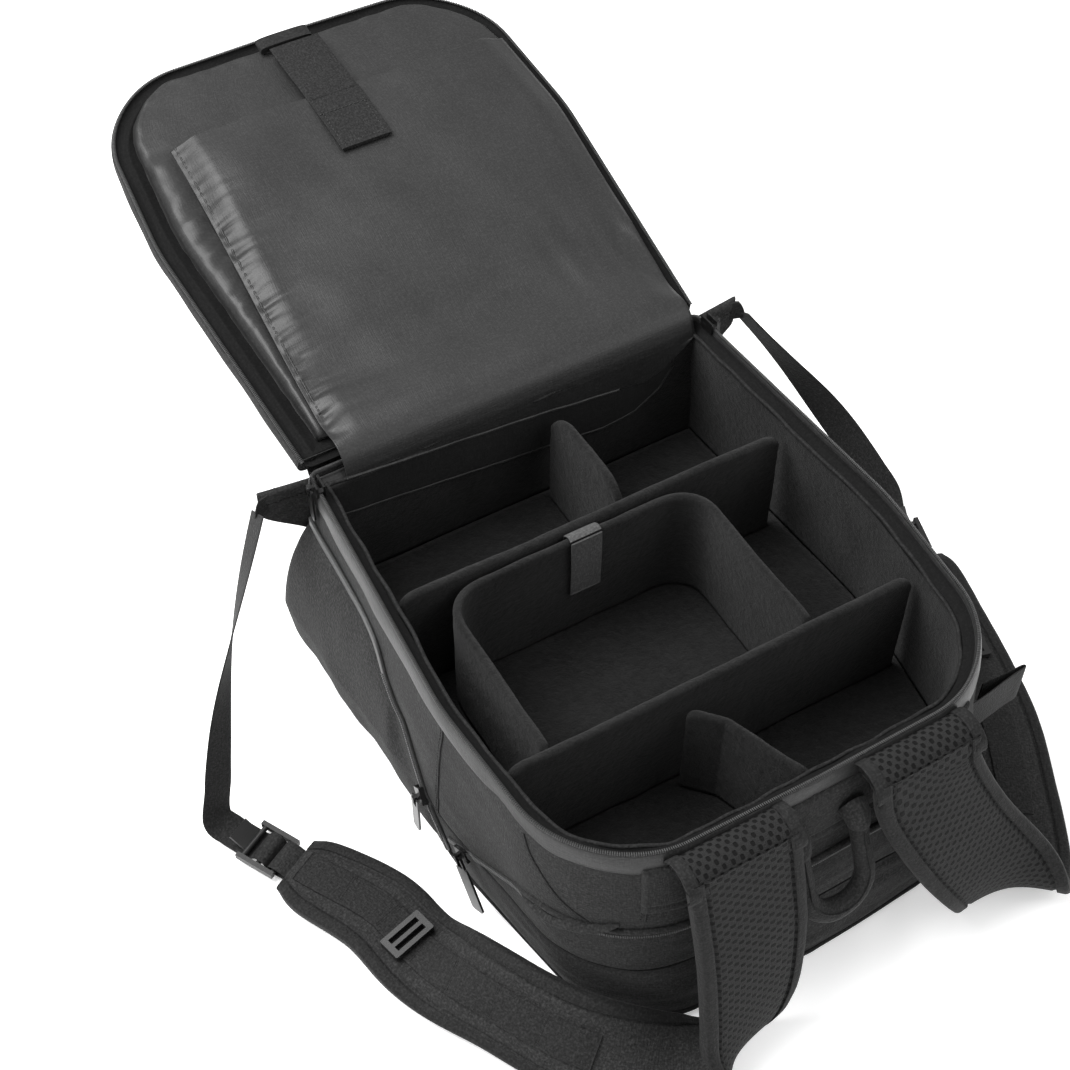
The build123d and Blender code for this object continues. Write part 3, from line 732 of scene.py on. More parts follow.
def seamX(s):
    # the sleeve's stitched left seam leans outwards towards the hinge
    return -131.0 - 9.0 * smoothstep(300 - np.asarray(s, float), 0, 300)


sleeve = {"pucker": 4.6, "sag": 1.9, "creases": 1.0, "cloth": 0.6, "sewnRows": 184}


def seamPuckers(x, s):
    # creases across the stitched seam: uneven waves along it, drawn out sideways
    return drift(spread(x * 0.14, s, 0), 11, 53) * 0.9 + drift(spread(x * 0.2, s, 0), 6.5, 52) * 0.45


def hemZ(x):
    # height of the sleeve's lower hem where it hangs inside the bag
    return np.interp(x, [-150, -136, 0, 60, 111, 128, 146, 156], [183, 180, 166, 158, 151, 158, 172, 180])


def tabletSleeve():
    # satin pocket: rises from its stitched edges, sags above the hinge, rolls over it and hangs to a hem
    rows = 300
    line = through([(306, 10.6), (270, 10.9), (225, 10.6), (180, 9.8), (140, 8.6), (108, 6.4), (82, 2.2), (58, 1.9),
                    (36, 6.4), (18, 10.4), (4, 10.2), (-6, 5.6), (-12.6, -3.0), (-15.6, -10)], rows)
    s = line[:, 0][:, None]
    u = np.linspace(0, 1, 140)[None] ** 1.25
    left, right = seamX(s), lidHalf(np.clip(s, 14, 380), 9.0) - 1.5 * smoothstep(60 - s, 0, 60)
    x = left + (right - left) * u
    lip = (drift(spread(x, 0, 0), 40, 51) * 1.6 + drift(spread(x, 0, 0), 13, 52) * 0.5)
    s = s + lip * smoothstep(s, 292, 306) + 0 * x
    away = x - left
    puckers = seamPuckers(x, s)
    tug = np.exp(-away / (7 + 20 * np.abs(drift(spread(0, s, 0), 26, 54)))) * smoothstep(away, 0, 5)
    strength = sleeve["pucker"] * (0.35 + 0.65 * smoothstep(290 - s, 10, 130))
    rise = smoothstep(away, -1, 22) ** 0.8 * smoothstep(right - x, -1, 26) ** 0.7
    n = line[:, 1][:, None] * (0.12 + 0.88 * rise) + puckers * tug * strength
    flare = smoothstep(x, 60, 150)
    at = spread(x, s, 0)
    n = n + (drift(at, 130, 55) * sleeve["sag"] + drift(at * (1.4, 0.5, 1), 55, 56) * sleeve["creases"]
             + drift(at, 26, 57) * 0.24) * rise
    n = n + flare * smoothstep(150 - s, 0, 60) * smoothstep(s, 20, 60) * drift(at * (1.6, 0.35, 1), 36, 58) * 1.8
    n = np.maximum(n, 0.9)
    over = smoothstep(s, -2, 34)
    points = onLid(np.stack([x, s, n * over + line[:, 1][:, None] * (1 - over)], -1))
    drop = np.linspace(0, 1, 31)[1:, None]
    top = points[-1]
    low = hemZ(top[:, 0])[None]
    gather = smoothstep(top[:, 0], 96, 128) * np.sin(top[:, 0] * 2 * np.pi / 5.2)
    hang = np.zeros((30, top.shape[0], 3))
    hang[..., 0] = top[None, :, 0]
    hang[..., 2] = top[None, :, 2] + (low - top[None, :, 2]) * drop
    hang[..., 1] = (top[None, :, 1] + (179.6 - top[None, :, 1]) * smoothstep(drop, 0, 0.7)
                    - 0.8 * np.abs(gather)[None] * drop + 0.5 * drift(hang, 40, 59) * drop)
    points = np.concatenate([points, hang])
    sheet = grid("tablet_sleeve_satin", points, False, False, True)
    across = ("bag", "lid", (0, 0.183, 0.176), (0, 0.214, 0.200))
    dress(sheet, "satinLining", "lid", 
          ("tablet_sleeve", "hinge_roll", "hinge_seam"), wall=sleeve["cloth"], blend=across)
    hem = points[-1] + (0, -0.4, 0.4)
    dress(tube("sleeve_hem_piping", hem[:-26], 1.25, 8, (0, 1, 0)), "satinTape", "bag")
    side = points[:rows, 3] + (0, 0, 0.3)
    up = np.broadcast_to((0.0, -math.sin(lidLean), math.cos(lidLean)), side.shape)
    sewn = sleeve["sewnRows"]    # the rows that are sewn down; beyond them the sleeve hangs free
    stitches("sleeve_stitches", side[:sewn], up[:sewn], "lid", 4.2, 2.6, 0.3, "binding")
    ridge = side[:sewn] + (1.6, 0, 0.5)
    ridge[:, 2] += 0.5 * np.sin(np.arange(len(ridge)) * 1.9) + 0.3 * drift(ridge, 9, 60)
    dress(tube("sleeve_seam_ridge", ridge, 1.0, 6), "satinTape", "lid")


def lidApron():
    # lining below the sleeve's hem, hanging inside the bag behind the dividers to its own folded edge
    x = np.linspace(-158, 138, 150)[None]
    low = np.interp(x, [-160, -150, 76, 104, 126, 140], [146, 144, 117, 121, 136, 158])
    v = np.linspace(0, 1, 30)[:, None]
    z = 184 + (low - 184) * v
    at = spread(x, 0, z)
    y = 181.2 - 0.6 * v + 0.4 * drift(at * (1, 1, 0.4), 50, 61) + 0.25 * drift(at, 18, 62)
    y = y + 6.5 * smoothstep(z, 174, 184)
    sheet = grid("lid_apron_satin", spread(x, y, z), False, False, True)
    dress(sheet, "satinLining", "bag", wall=0.5)
    edge = np.stack([x[0], y[-1], low[0] + 0.6], -1)
    dress(tube("apron_folded_edge", edge, 1.1, 8, (0, 1, 0)), "satinTape", "bag")


def hingeFold():
    # outer fabric that crosses the hinge below the zip ends, folded while the lid lies open
    x = np.linspace(-160, 160, 160)[None]
    line = through([(194.2, 178), (195.4, 174.8), (197.6, 172.6), (200.4, 172.2), (203, 173.6), (204.4, 175.7),
                    (204.6, 178)], 40)
    at = spread(x, line[:, :1], line[:, 1:])
    at[..., 1:] += (drift(at, 60, 63) * 0.9)[..., None] * np.sin(np.linspace(0, np.pi, 40))[:, None, None]
    fold = grid("hinge_fold_fabric", at, False, False, True)
    dress(fold, "shellFabric", "bag", wall=0.8,
          blend=("bag", "lid", (0, 0.196, 0.170), (0, 0.205, 0.172)))


backPad = {"half": 138, "deep": 8.6, "groove": 2.2, "bend": 0.16}


def backPads():
    # two padded air-mesh cushions on the outside of the lid, pillowed with a rolled border
    for name, s0, s1 in (("low", 28, 150), ("high", 170, 350)):
        u = np.linspace(-1, 1, 110)[:, None]
        v = np.linspace(-1, 1, 100)[None]
        bend = backPad["bend"]
        x = backPad["half"] * u * np.sqrt(1 - bend * v ** 8 * 0.9)
        s = (s0 + s1) / 2 + (s1 - s0) / 2 * v * np.sqrt(1 - bend * u ** 8 * 0.9)
        rim = np.minimum(1 - np.abs(u), (1 - np.abs(v)) * (s1 - s0) / (2 * backPad["half"]))
        deep = backPad["deep"] * (1 - np.exp(-rim * 16)) ** 0.6
        groove = backPad["groove"] * np.exp(-((rim - 0.085) / 0.012) ** 2)
        n = -16.6 - deep + groove + 0.5 * drift(spread(x, s, 0), 50, 64) * (rim > 0.02)
        pad = grid(f"back_pad_{name}", onLid(spread(x, s, n)), False, False, True)
        dress(pad, "airMesh", "lid", ("back_mesh_pads",) if name == "low" else (), wall=1.5)


tabletBand = {"half": 21.6, "thick": 1.5}


def tabletStrap():
    # wide retaining strap from its sewn tab over the sleeve, with a doubled, stitched end
    line = through([(367, 8.0), (352, 8.6), (334, 9.8), (314, 12.2), (290, 12.6), (262, 12.6), (243.5, 12.4)], 90)
    line[:, 1] += 0.35 * np.sin(line[:, 0] / 17)
    centre = onLid(np.stack([4 + 0.03 * (367 - line[:, 0]), line[:, 0], line[:, 1]], -1))
    along = heading(centre)
    across = np.broadcast_to((1.0, 0.0, 0.0), centre.shape)
    out = np.cross(across, along)
    half, thick = tabletBand["half"], tabletBand["thick"]
    strip("tablet_strap_webbing", centre, across, -out, half, thick, "tablet_strap", ("tablet_strap",))
    strip("tablet_strap_end", centre[54:] - out[54:] * 1.7, across[54:], -out[54:], half + 0.3, thick,
          "tablet_strap")
    box = np.array([(-18, 282), (18, 282), (18, 248), (-18, 248), (-18, 282)], float)
    steps = through(np.repeat(box, 3, 0), 90)
    path = onLid(np.stack([6.5 + steps[:, 0], steps[:, 1], np.full(90, 15.2)], -1))
    stitches("tablet_strap_stitches", path, np.broadcast_to((0, -math.sin(lidLean), math.cos(lidLean)), path.shape),
             "tablet_strap", 3.4, 2.2, 0.3, "satinTape")
    u = np.linspace(370, 381, 20)
    centre = onLid(spread(-1, u, 4.6))
    across = across[:20]
    strip("tablet_strap_anchor", centre, across, np.cross(across, heading(centre)), 22.6, 8.2, "lid",
          ("tablet_strap_tab",), turned=True)


lidBand()
lidLining()
tabletSleeve()
lidApron()
hingeFold()
backPads()
tabletStrap()
print("lid made")


floorTop, dividerTop = 70.5, 173.0
padding = {"channel": 0.75, "swell": 0.45, "dimples": 0.25, "crown": 0.9}


def padPanel(name, path, wall, top, body, replaces, endRound, seed):
    # upright padded panel: straight sides, half-round top, ends rounded off, with a sewn channel under the top edge
    path = np.asarray(path, float)
    run = distance(path)
    ease = (1 - np.cos(np.linspace(0, np.pi, 150))) / 2 * 0.5 + np.linspace(0, 1, 150) * 0.5
    at = ease * run[-1]
    spot = sample(at, run, path)
    for _ in range(3):
        spot[1:-1] = (spot[:-2] + spot[1:-1] * 2 + spot[2:]) / 4
    along = heading(spot)
    side = np.stack([-along[:, 1], along[:, 0]], 1)
    fromEnd = np.minimum(at, run[-1] - at)
    half = (wall / 2 - 0.3) * np.sqrt(np.clip(1 - (1 - np.clip(fromEnd / (wall / 2), 0, 1)) ** 2, 0.02, 1))
    fall = endRound * (1 - np.sqrt(np.clip(1 - (1 - np.clip(fromEnd / endRound, 0, 1)) ** 2, 0, 1)))
    crest = top - 0.6 - fall
    crest = crest + padding["crown"] * drift(spread(spot[:, 0], spot[:, 1], 0), 60, seed)
    f = np.linspace(0, 1, 26)
    arc = np.linspace(0, np.pi, 11)[1:-1]
    offset = np.concatenate([-np.ones(26), -np.cos(arc), np.ones(26)])
    high = np.concatenate([f, np.ones(9), f[::-1]])
    cap = np.concatenate([np.zeros(26), np.sin(arc), np.zeros(26)])
    z = floorTop + (crest - half - floorTop)[:, None] * high[None] + half[:, None] * cap[None]
    channel = padding["channel"] * np.exp(-((z - (crest[:, None] - 9)) / 1.6) ** 2)
    centre = spread(spot[:, 0], spot[:, 1], 0)
    rough = spread(spot[:, :1], spot[:, 1:] + offset[None] * 40, z)
    swell = padding["swell"] * drift(rough, 45, seed + 1) + padding["dimples"] * drift(rough, 16, seed + 2) - 0.35
    thick = np.maximum(half[:, None] * np.abs(offset[None]) + (swell - channel) * np.abs(offset[None]),
                       0.2) * np.sign(offset[None])
    points = np.stack([centre[:, :1] + side[:, :1] * thick, centre[:, 1:2] + side[:, 1:] * thick, z], -1)
    panel = grid(name, points, False, True, True, True)
    dress(panel, "loopFabric", body, replaces)


def dividers():
    padPanel("cross_divider_top_pad", [(-160.5, -85), (-60, -86.8), (60, -85.6), (160.5, -86)], 9, dividerTop,
             "cross_divider_top",
             ("cross_divider_top",), 15, 70)
    padPanel("cross_divider_bottom_pad", [(-157.5, 71), (-70, 70), (40, 70.4), (157.5, 69)], 9, dividerTop,
             "cross_divider_bottom",
             ("cross_divider_bottom",), 15, 73)
    inner = roundedHalf(np.array([(-128, -80.5), (-128, 60.9), (78, 60.9), (78, -80.5)], float), [28, 28])
    padPanel("camera_cradle_pad", inner, 8, 169, "camera_cradle", ("camera_cradle",), 5, 76)
    padPanel("flash_divider_pad", [(28, 75.4), (28.5, 120), (28, 177.4)], 8, 171, "flash_divider",
             ("flash_divider",), 30, 79)
    padPanel("lens_divider_pad", [(-30, -95.7), (-12, -116), (4, -160), (12, -177.6)], 7, 161, "lens_divider",
             ("lens_divider",), 10, 82)


cradleBand = {"x": -16, "half": 12.6, "thick": 1.5}


def cradleStrap():
    # grey hook-and-loop strap: a saddle sewn over the cradle's back wall, and the flap that hangs from it
    for name, body, keys, replaces in (
            ("cradle_strap_saddle", "camera_cradle", [(67.2, 148), (67.0, 160), (66.2, 167), (61, 171.4),
                    (56.6, 170.6)], ()),
            ("cradle_strap_flap", "cradle_strap", [(55.4, 169.2), (55.0, 160), (54.8, 140), (55.0, 113)],
             ("cradle_strap",))):
        line = through(keys, 44)
        centre = spread(cradleBand["x"], line[:, 0], line[:, 1])
        along = heading(centre)
        across = np.broadcast_to((1.0, 0.0, 0.0), centre.shape)
        strap = grid(name, bandPoints(centre, across, np.cross(across, along), cradleBand["half"],
                                      cradleBand["thick"]),
                     False, True, True, True)
        dress(strap, "strapGrey", body, replaces)


dividers()
cradleStrap()
print("dividers made")


pocketEdge = [(186, 147), (150, 147.4), (110, 147.2), (68, 146), (42, 127), (10, 91), (-28, 47), (-31, 12)]
frontZipKeys = [(-44, 46), (-62, 58), (-95, 76), (-130, 95), (-160, 104.5)]


def sideKeys(keys, side):
    # (y, z) keys of a side wall as points on the wall of the right or left side
    yz = np.asarray(keys, float)
    return np.stack([np.full(len(yz), 185.0 * side), yz[:, 0], yz[:, 1]], 1)


def zipBand(name, keys, half, proud, replaces, count=260, look="shellFabric", sides=9):
    # zip cover along a wall path: low rounded band that carries a coil row along its middle
    centre, away = wallPath(keys, count)
    along = heading(centre)
    across = unit(np.cross(along, away))
    band = grid(name, bandPoints(centre + away * (proud / 2 - 0.2), across, away, half, proud, count=sides), False,
                True, True, True)
    dress(band, look, "bag", replaces)
    return centre, away, across


def sideZips():
    # the side pockets' zips: a satin cover that widens along its second half, with teeth on it
    for side, label in ((-1, "left"), (1, "right")):
        keys = sideKeys(pocketEdge, side)
        half = 2.9 + 1.9 * smoothstep(-np.linspace(0, 1, 260), -0.62, -0.45)
        centre, away, _ = zipBand(f"side_zip_cover_{label}", keys, half, 2.7, (f"side_zip_{label}",),
                                  look="satinTape")
        line = centre + away * 2.8
        coilAlong(f"side_coil_{label}", line[140:], away[140:])


def coilAlong(name, line, away):
    # row of coil beads standing on a wall path
    run = distance(line)
    at = np.arange(0, run[-1], zipTeeth["wallPitch"])
    centres, outs, ways = sample(at, run, line, away, np.gradient(line, axis=0))
    ways = unit(ways)
    outs = square(ways, outs)
    dress(scatter(name, boxCorners(0.45, 0.5, 1.5), centres, ways, outs), "coilTeeth", "bag")


def frontZip():
    # the front compartment's zip climbs both side walls and runs level round the top end
    left = sideKeys(frontZipKeys, -1)
    level = np.array([(-172, -150, 104.8), (-150, -185, 106.5), (-90, -204, 108), (0, -210, 108),
                      (90, -204, 108), (150, -185, 106.5), (172, -150, 104.8)], float)
    keys = np.vstack([left[:-1], level, sideKeys(frontZipKeys, 1)[:-1][::-1]])
    centre, away, across = zipBand("front_zip_cover", keys, 2.8, 1.5, ("front_zip",), 620, sides=7)
    coilAlong("front_coil", centre + away * 1.3, away)
    lip = (centre + across * np.where(across[:, 2:] > 0, 1, -1) * 4.4 + away * 0.5)[124:-124]
    lip = lip + away[124:-124] * (0.7 * drift(lip, 30, 90))[:, None]
    dress(tube("front_zip_lip", lip, 2.1, 8, (0, 0, 1)), "shellFabric", "bag")
    for side, label in ((-1, "left"), (1, "right")):
        keys = np.array([(-178, -128, 100), (-172, -146, 103), (-164, -163, 106.5), (-150, -181, 112),
                         (-139, -190, 119)], float)
        keys[:, 0] *= -side
        line, out = wallPath(keys, 60)
        wide = np.sin(np.linspace(0.15, np.pi * 0.93, 60)) * 5.2
        garage = grid(f"zip_garage_{label}", tubePoints(line + out * 1.4, np.maximum(wide, 0.8), 16, (0, 0, 1),
                0.62), False, True, True, True)
        dress(garage, "shellFabric", "bag")


def wallSeam(name, keys, sew=3.0, count=120):
    # sewn panel join: a thin raised roll on the wall with a stitched line beside it
    line, away = wallPath(keys, count, 0.25)
    dress(tube(name, line, 0.75, 6), "binding", "bag")
    along = heading(line)
    beside = line + np.cross(along, away) * sew
    stitches(name + "_stitches", beside, away, "bag", 3.4, 2.2, 0.25)


def wallSeams():
    # panel seams on both sides, the roll at the lower seam and the piping round the base
    for side, label in ((-1, "left"), (1, "right")):
        wallSeam(f"end_panel_seam_{label}", [(side * 168, -128, 172), (side * 166, -140, 150),
                (side * 158, -158, 128), (side * 146, -172, 113)])
        wallSeam(f"side_panel_seam_{label}", [(side * 180, -37, 174), (side * 182, -35, 140),
                (side * 184, -33, 100), (side * 184, -31, 60)])
        wallSeam(f"yoke_seam_{label}", [(side * 124, -196, 176), (side * 124, -198, 150), (side * 126, -199, 122)])
    t = np.linspace(0, 1, 900)
    line = wall(t, np.full_like(t, seamZ), 0.5)
    dress(tube("lower_seam_roll", line[:-1], 1.1, 8, loop=True), "binding", "bag")
    line = wall(t, np.full_like(t, 6.0), 0.2)
    dress(tube("base_piping", line[:-1], 1.9, 10, loop=True), "binding", "bag")


pocket = {"low": 6.0, "flat": 3.0, "full": 26.5, "folds": 1.6, "reach": 213}


def sidePockets():
    # bulging pocket between its zip and the bag's lower edge: fullest low down and towards the hinge end
    for side, label in ((-1, "left"), (1, "right")):
        y = np.concatenate([np.linspace(190.5, 186.5, 8), np.linspace(185, -27, 150)])[:, None]
        v = np.concatenate([np.linspace(0, 0.12, 10), np.linspace(0.135, 1, 60)])[None]
        edgeY, edgeZ = np.array(pocketEdge)[::-1].T
        top = np.interp(y, edgeY, edgeZ) - 3.0
        z = pocket["low"] + (top - pocket["low"]) * v
        base, away = wallFrame(np.interp(y[:, 0], *sideLookup(side))[:, None] + 0 * z, z)
        full = np.interp(y, [-28, 20, 72, 185, 190.5], [pocket["flat"], 6.0, 12.5, pocket["full"], pocket["full"]])
        nearZip = 1 - np.exp(-(top - z) / (16 + 0.10 * (y + 28)))
        shape = np.sin(np.clip(v / 0.22, 0, 1) * np.pi / 2) ** 0.7 * nearZip ** 0.9
        closing = smoothstep(191 - y, 0, 5.5) * smoothstep(y, -28, -6)
        at = base * (0.5, 1, 0.6)
        folds = drift(at, 60, 100 + side) * pocket["folds"] + drift(at, 24, 102 + side) * 0.6
        swell = full * shape * (0.25 + 0.75 * closing) * (0.15 + 0.85 * closing) + folds * shape * closing
        pull = np.exp(-((z - (51 + (y + 23) * 1.143 - 20)) / 22) ** 2) * smoothstep(40 - y, 0, 12)
        swell = np.maximum(swell * (1 - 0.75 * pull), 0.2)
        points = base + away * swell[..., None]
        points[..., 0] = np.clip(points[..., 0], -pocket["reach"], pocket["reach"])
        skin = grid(f"side_pocket_fabric_{label}", points, False, False, side < 0)
        dress(skin, "shellFabric", "bag", (f"side_pocket_{label}",), wall=1.0)


def sideLookup(side):
    # y to outline fraction along a side wall, for interpolation
    ring, _ = wallFrame(ringSteps[:-1], 90.0)
    on = (ring[:, 0] * side > 120)
    order = np.argsort(ring[on, 1])
    return ring[on, 1][order], np.unwrap(ringSteps[:-1][on][order], period=1)


sidePockets()
sideZips()
frontZip()
wallSeams()
print("pockets and zips made")


strapPlan = {
    # centre of the pad, direction across it and its width, from the yoke to the buckle
    "left": [((-70, -214, 182), (1, 0, 0), 80), ((-70, -224, 160), (1, 0, 0), 80),
             ((-72, -241, 110), (1, 0.04, 0), 80),
             ((-80, -256, 58), (0.98, 0.16, 0), 79), ((-96, -262, 24), (0.9, 0.42, 0.05), 78), ((-129, -252, 13),
                     (0.74, 0.66, 0.12), 74),
             ((-178, -211, 28), (0.62, 0.42, 0.66), 68), ((-213, -150, 28), (0.64, 0.4, 0.66),
                     66), ((-233, -96, 10), (0.86, 0.5, 0.05), 65),
             ((-244, -50, 9), (0.87, 0.49, 0), 64), ((-268, -6, 9), (0.87, 0.49, 0), 58), ((-278, 13, 9),
                     (0.87, 0.49, 0), 44)],
    "right": [((-70, -214, 182), (1, 0, 0), 80), ((-71, -225, 159), (1, 0, 0.02), 80),
              ((-92, -242, 110), (0.97, -0.02, 0.2), 80),
              ((-120, -254, 62), (0.97, 0.04, 0.22), 79), ((-144, -256, 26), (0.93, 0.34, 0.1),
                      78), ((-170, -236, 12), (0.76, 0.64, 0.05), 74),
              ((-200, -190, 14), (0.8, 0.58, 0.12), 68), ((-226, -142, 12), (0.86, 0.5, 0.06), 66), ((-242, -96, 9),
                      (0.93, 0.36, 0), 65),
              ((-254, -50, 9), (0.95, 0.31, 0), 64), ((-268, -4, 9), (0.95, 0.31, 0), 58), ((-274, 16, 9),
                      (0.95, 0.31, 0), 44)],
}
strapLook = {"thick": 10.0, "edge": 8.5, "wingTip": (-204.0, 193.0, 172.0)}
mirror = np.array([-1.0, 1.0, 1.0])


def strapFrames(stations, count):
    # smooth centre line with its across and outer directions and half width
    rows = np.array([[*c, *unit(np.array(a, float)), w / 2] for c, a, w in stations])
    steps = distance(rows[:, :3])
    fine = through(np.column_stack([rows, steps]), 1200)
    even = np.linspace(0, fine[-1, -1], count)
    line = sample(even, fine[:, -1], fine[:, :7])
    along = heading(line[:, :3])
    across = square(along, line[:, 3:6])
    return line[:, :3], across, np.cross(across, along), line[:, 6], even


def padSide(frames, up, swell=0.0):
    # one face of the pad, edge to edge: flat middle, sewn channel inside the binding, rounded edge
    centre, across, normal, half, run = frames
    a = np.concatenate([[-1.0, -0.997, -0.985, -0.96], np.linspace(-0.92, 0.92, 60), [0.96, 0.985, 0.997, 1.0]])
    wide = a[None] * half[:, None]
    inward = half[:, None] - np.abs(wide)
    thick = strapLook["thick"] / 2
    rise = thick * np.sqrt(np.clip(1 - (1 - np.clip(inward / 4.2, 0, 1)) ** 2, 0, 1))
    at = centre[:, None] + across[:, None] * wide[..., None]
    dent = 1.5 * np.exp(-((inward - strapLook["edge"] - 1.0) / 1.3) ** 2)
    puffed = (0.3 * (1 - a[None] ** 2) + 0.3 * drift(at, 45, 120) - dent) * smoothstep(inward, 2, 9)
    rise = np.maximum(rise + puffed + swell * smoothstep(inward, -1, 1), 0)
    taper = smoothstep(run[-1] - run, -2, 9)[:, None]
    return at + normal[:, None] * (up * rise * (0.35 + 0.65 * taper))[..., None]


def padBinding(frames, edge):
    # ribbed tape wrapped round one edge of the pad
    centre, across, normal, half, run = frames
    turn = np.linspace(-1, 1, 15)
    inward = np.where(np.abs(turn) > 0.35, (np.abs(turn) - 0.35) / 0.65 * strapLook["edge"] + 0.6,
                      0.6 * (np.abs(turn) / 0.35) ** 2)
    rise = np.sign(turn) * (strapLook["thick"] / 2
                            * np.sqrt(np.clip(1 - (1 - np.clip((inward + 0.4) / 4.2, 0, 1)) ** 2, 0, 1)) + 0.5)
    rise = rise * np.minimum(1, np.abs(turn) / 0.2)
    reach = (half[:, None] + 0.7 - inward[None])
    at = centre[:, None] + across[:, None] * (edge * reach)[..., None]
    bump = 0.22 * drift(at, 14, 121)
    taper = smoothstep(run[-1] - run, -2, 9)[:, None]
    return at + normal[:, None] * (rise[None] * (0.35 + 0.65 * taper) + bump)[..., None]


def shoulderStraps():
    # each pad: outer cloth, mesh underside, bound edges with a stitched line, then its webbing and root
    for side, stations in strapPlan.items():
        flip = mirror if side == "right" else np.ones(3)
        turned = side == "right"
        body = "shoulder_strap_" + side
        start = ((-70, -216, 184), (1, 0, 0), 80)
        frames = strapFrames([start] + stations[1:], 420)
        outer = grid("strap_outer_" + side, padSide(frames, 1) * flip, False, False, turned)
        dress(outer, "shellFabric", body, ("shoulder_pad_" + side,))
        inner = grid("strap_mesh_" + side, padSide(frames, -1) * flip, False, False, not turned)
        dress(inner, "airMesh", body)
        for edge, label in ((-1, "in"), (1, "out")):
            tape = grid(f"strap_binding_{side}_{label}", padBinding(frames, edge) * flip, False, False,
                        (edge < 0) != turned)
            dress(tape, "binding", body, wall=0.4)
        centre, across, normal, half, _ = frames
        for edge, label in ((-1, "in"), (1, "out")):
            for face, way in (("top", 1), ("under", -1)):
                line = centre + across * (edge * (half - strapLook["edge"] + 1.0))[:, None] + normal * (way * 5.35)
                stitches(f"strap_stitches_{side}_{label}_{face}", (line * flip)[4:-14],
                         (normal * way * flip)[4:-14], body, 3.6, 2.3, 0.25)
        daisyWebbing(side, frames, flip, turned, body)
        buckleWebbing(side, stations, flip, turned, body)
        rootRoll(side, flip, turned)


def daisyWebbing(side, frames, flip, turned, body):
    # webbing sewn along the outer face in a row of loops
    centre, across, normal, _, run = (part[210:414] for part in frames)
    rest = run - run[0]
    lift = 6.15 + 0.35 * np.abs(np.sin(rest / 36 * np.pi)) ** 0.6
    strip("daisy_webbing_visual_" + side, centre + normal * lift[:, None], across, normal, 12.6, 1.5, body,
          ("daisy_webbing_" + side,), flip, turned, 11)
    for k, tack in enumerate(np.arange(36, rest[-1] - 20, 36)):
        i = int(np.argmin(np.abs(rest - tack)))
        steps = np.linspace(-1, 1, 9)[:, None]
        along = np.cross(normal[i], across[i])
        line = np.concatenate([centre[i] + across[i] * 10.5 * steps * s + along * o for o,
                               s in ((-1.6, 1), (0, -1), (1.6, 1))])
        line = line + normal[i] * (lift[i] + 0.75)
        stitches(f"bar_tack_{side}_{k}", line * flip, np.broadcast_to(normal[i] * flip, line.shape), body, 1.5, 1.4,
                 0.3)


def lockFrame(stations):
    # ladder lock's own directions, just past the pad's end
    last, before = np.array(stations[-1][0], float), np.array(stations[-2][0], float)
    along = unit(last - before)
    across = np.array(stations[-1][1], float)
    across = unit(across - along * (across @ along))
    normal = np.cross(across, along)
    return last + along * 24 + (0, 0, -1.5), along, across, normal


def buckleWebbing(side, stations, flip, turned, body):
    # webbing threaded through the ladder lock, then up to the wing with a twist; and the loop that holds the lock
    origin, along, across, normal = lockFrame(stations)

    def local(points):
        return origin + np.array(points, float) @ np.stack([along, normal])

    threaded = local([(-7.4, -3.4), (-5.4, 0.5), (-3.4, 3.1), (0, 3.8), (3.4, 3.1), (6.6, -0.2), (9.6, -3.7),
                      (19, -4.4), (34, -3.2)])
    middle = origin + along * 46 + normal * 4
    tip = np.array(strapLook["wingTip"])
    t = np.array([0.12, 0.22, 0.36, 0.5, 0.64, 0.78, 0.9, 0.985])[:, None]
    rise = middle * (1 - t) + tip * t + np.array([-10, 0, -6]) * np.sin(np.pi * t)
    line = through(np.concatenate([threaded, middle[None], rise]), 400)
    steps = distance(line)
    line = sample(np.linspace(0, steps[-1], 360), steps, line)
    way = heading(line)
    share = smoothstep(np.linspace(0, steps[-1], 360), 70, steps[-1])[:, None]
    wide = across * (1 - share) + np.array([0.25, 1, -0.1]) * share
    wide = square(way, wide)
    strip("adjust_webbing_visual_" + side, line, wide, np.cross(wide, way), 12.5, 1.4, body,
          ("adjust_webbing_" + side,), flip, turned, 9)
    loop = through(local([(-34, -1.5), (-28, 0.6), (-23.2, 2.6), (-17.5, 4.2), (-13, 4.3), (-9.2, 2.6),
                          (-8.8, -0.6), (-12, -3.6), (-17, -3.4), (-24, -2.2)]), 90)
    wide = np.broadcast_to(across, loop.shape)
    strip("lock_loop_visual_" + side, loop, wide, np.cross(wide, heading(loop)), 12.5, 1.4, body,
          ("lock_loop_" + side,), flip, turned)
    cap = through(local([(-42, 5.4), (-36, 5.2), (-30, 3.8), (-26, 3.4)]), 30)
    wide = np.broadcast_to(across, cap.shape)
    strip("strap_end_patch_" + side, cap, wide, np.cross(wide, heading(cap)), 17, 1.6, body, (), flip, turned)


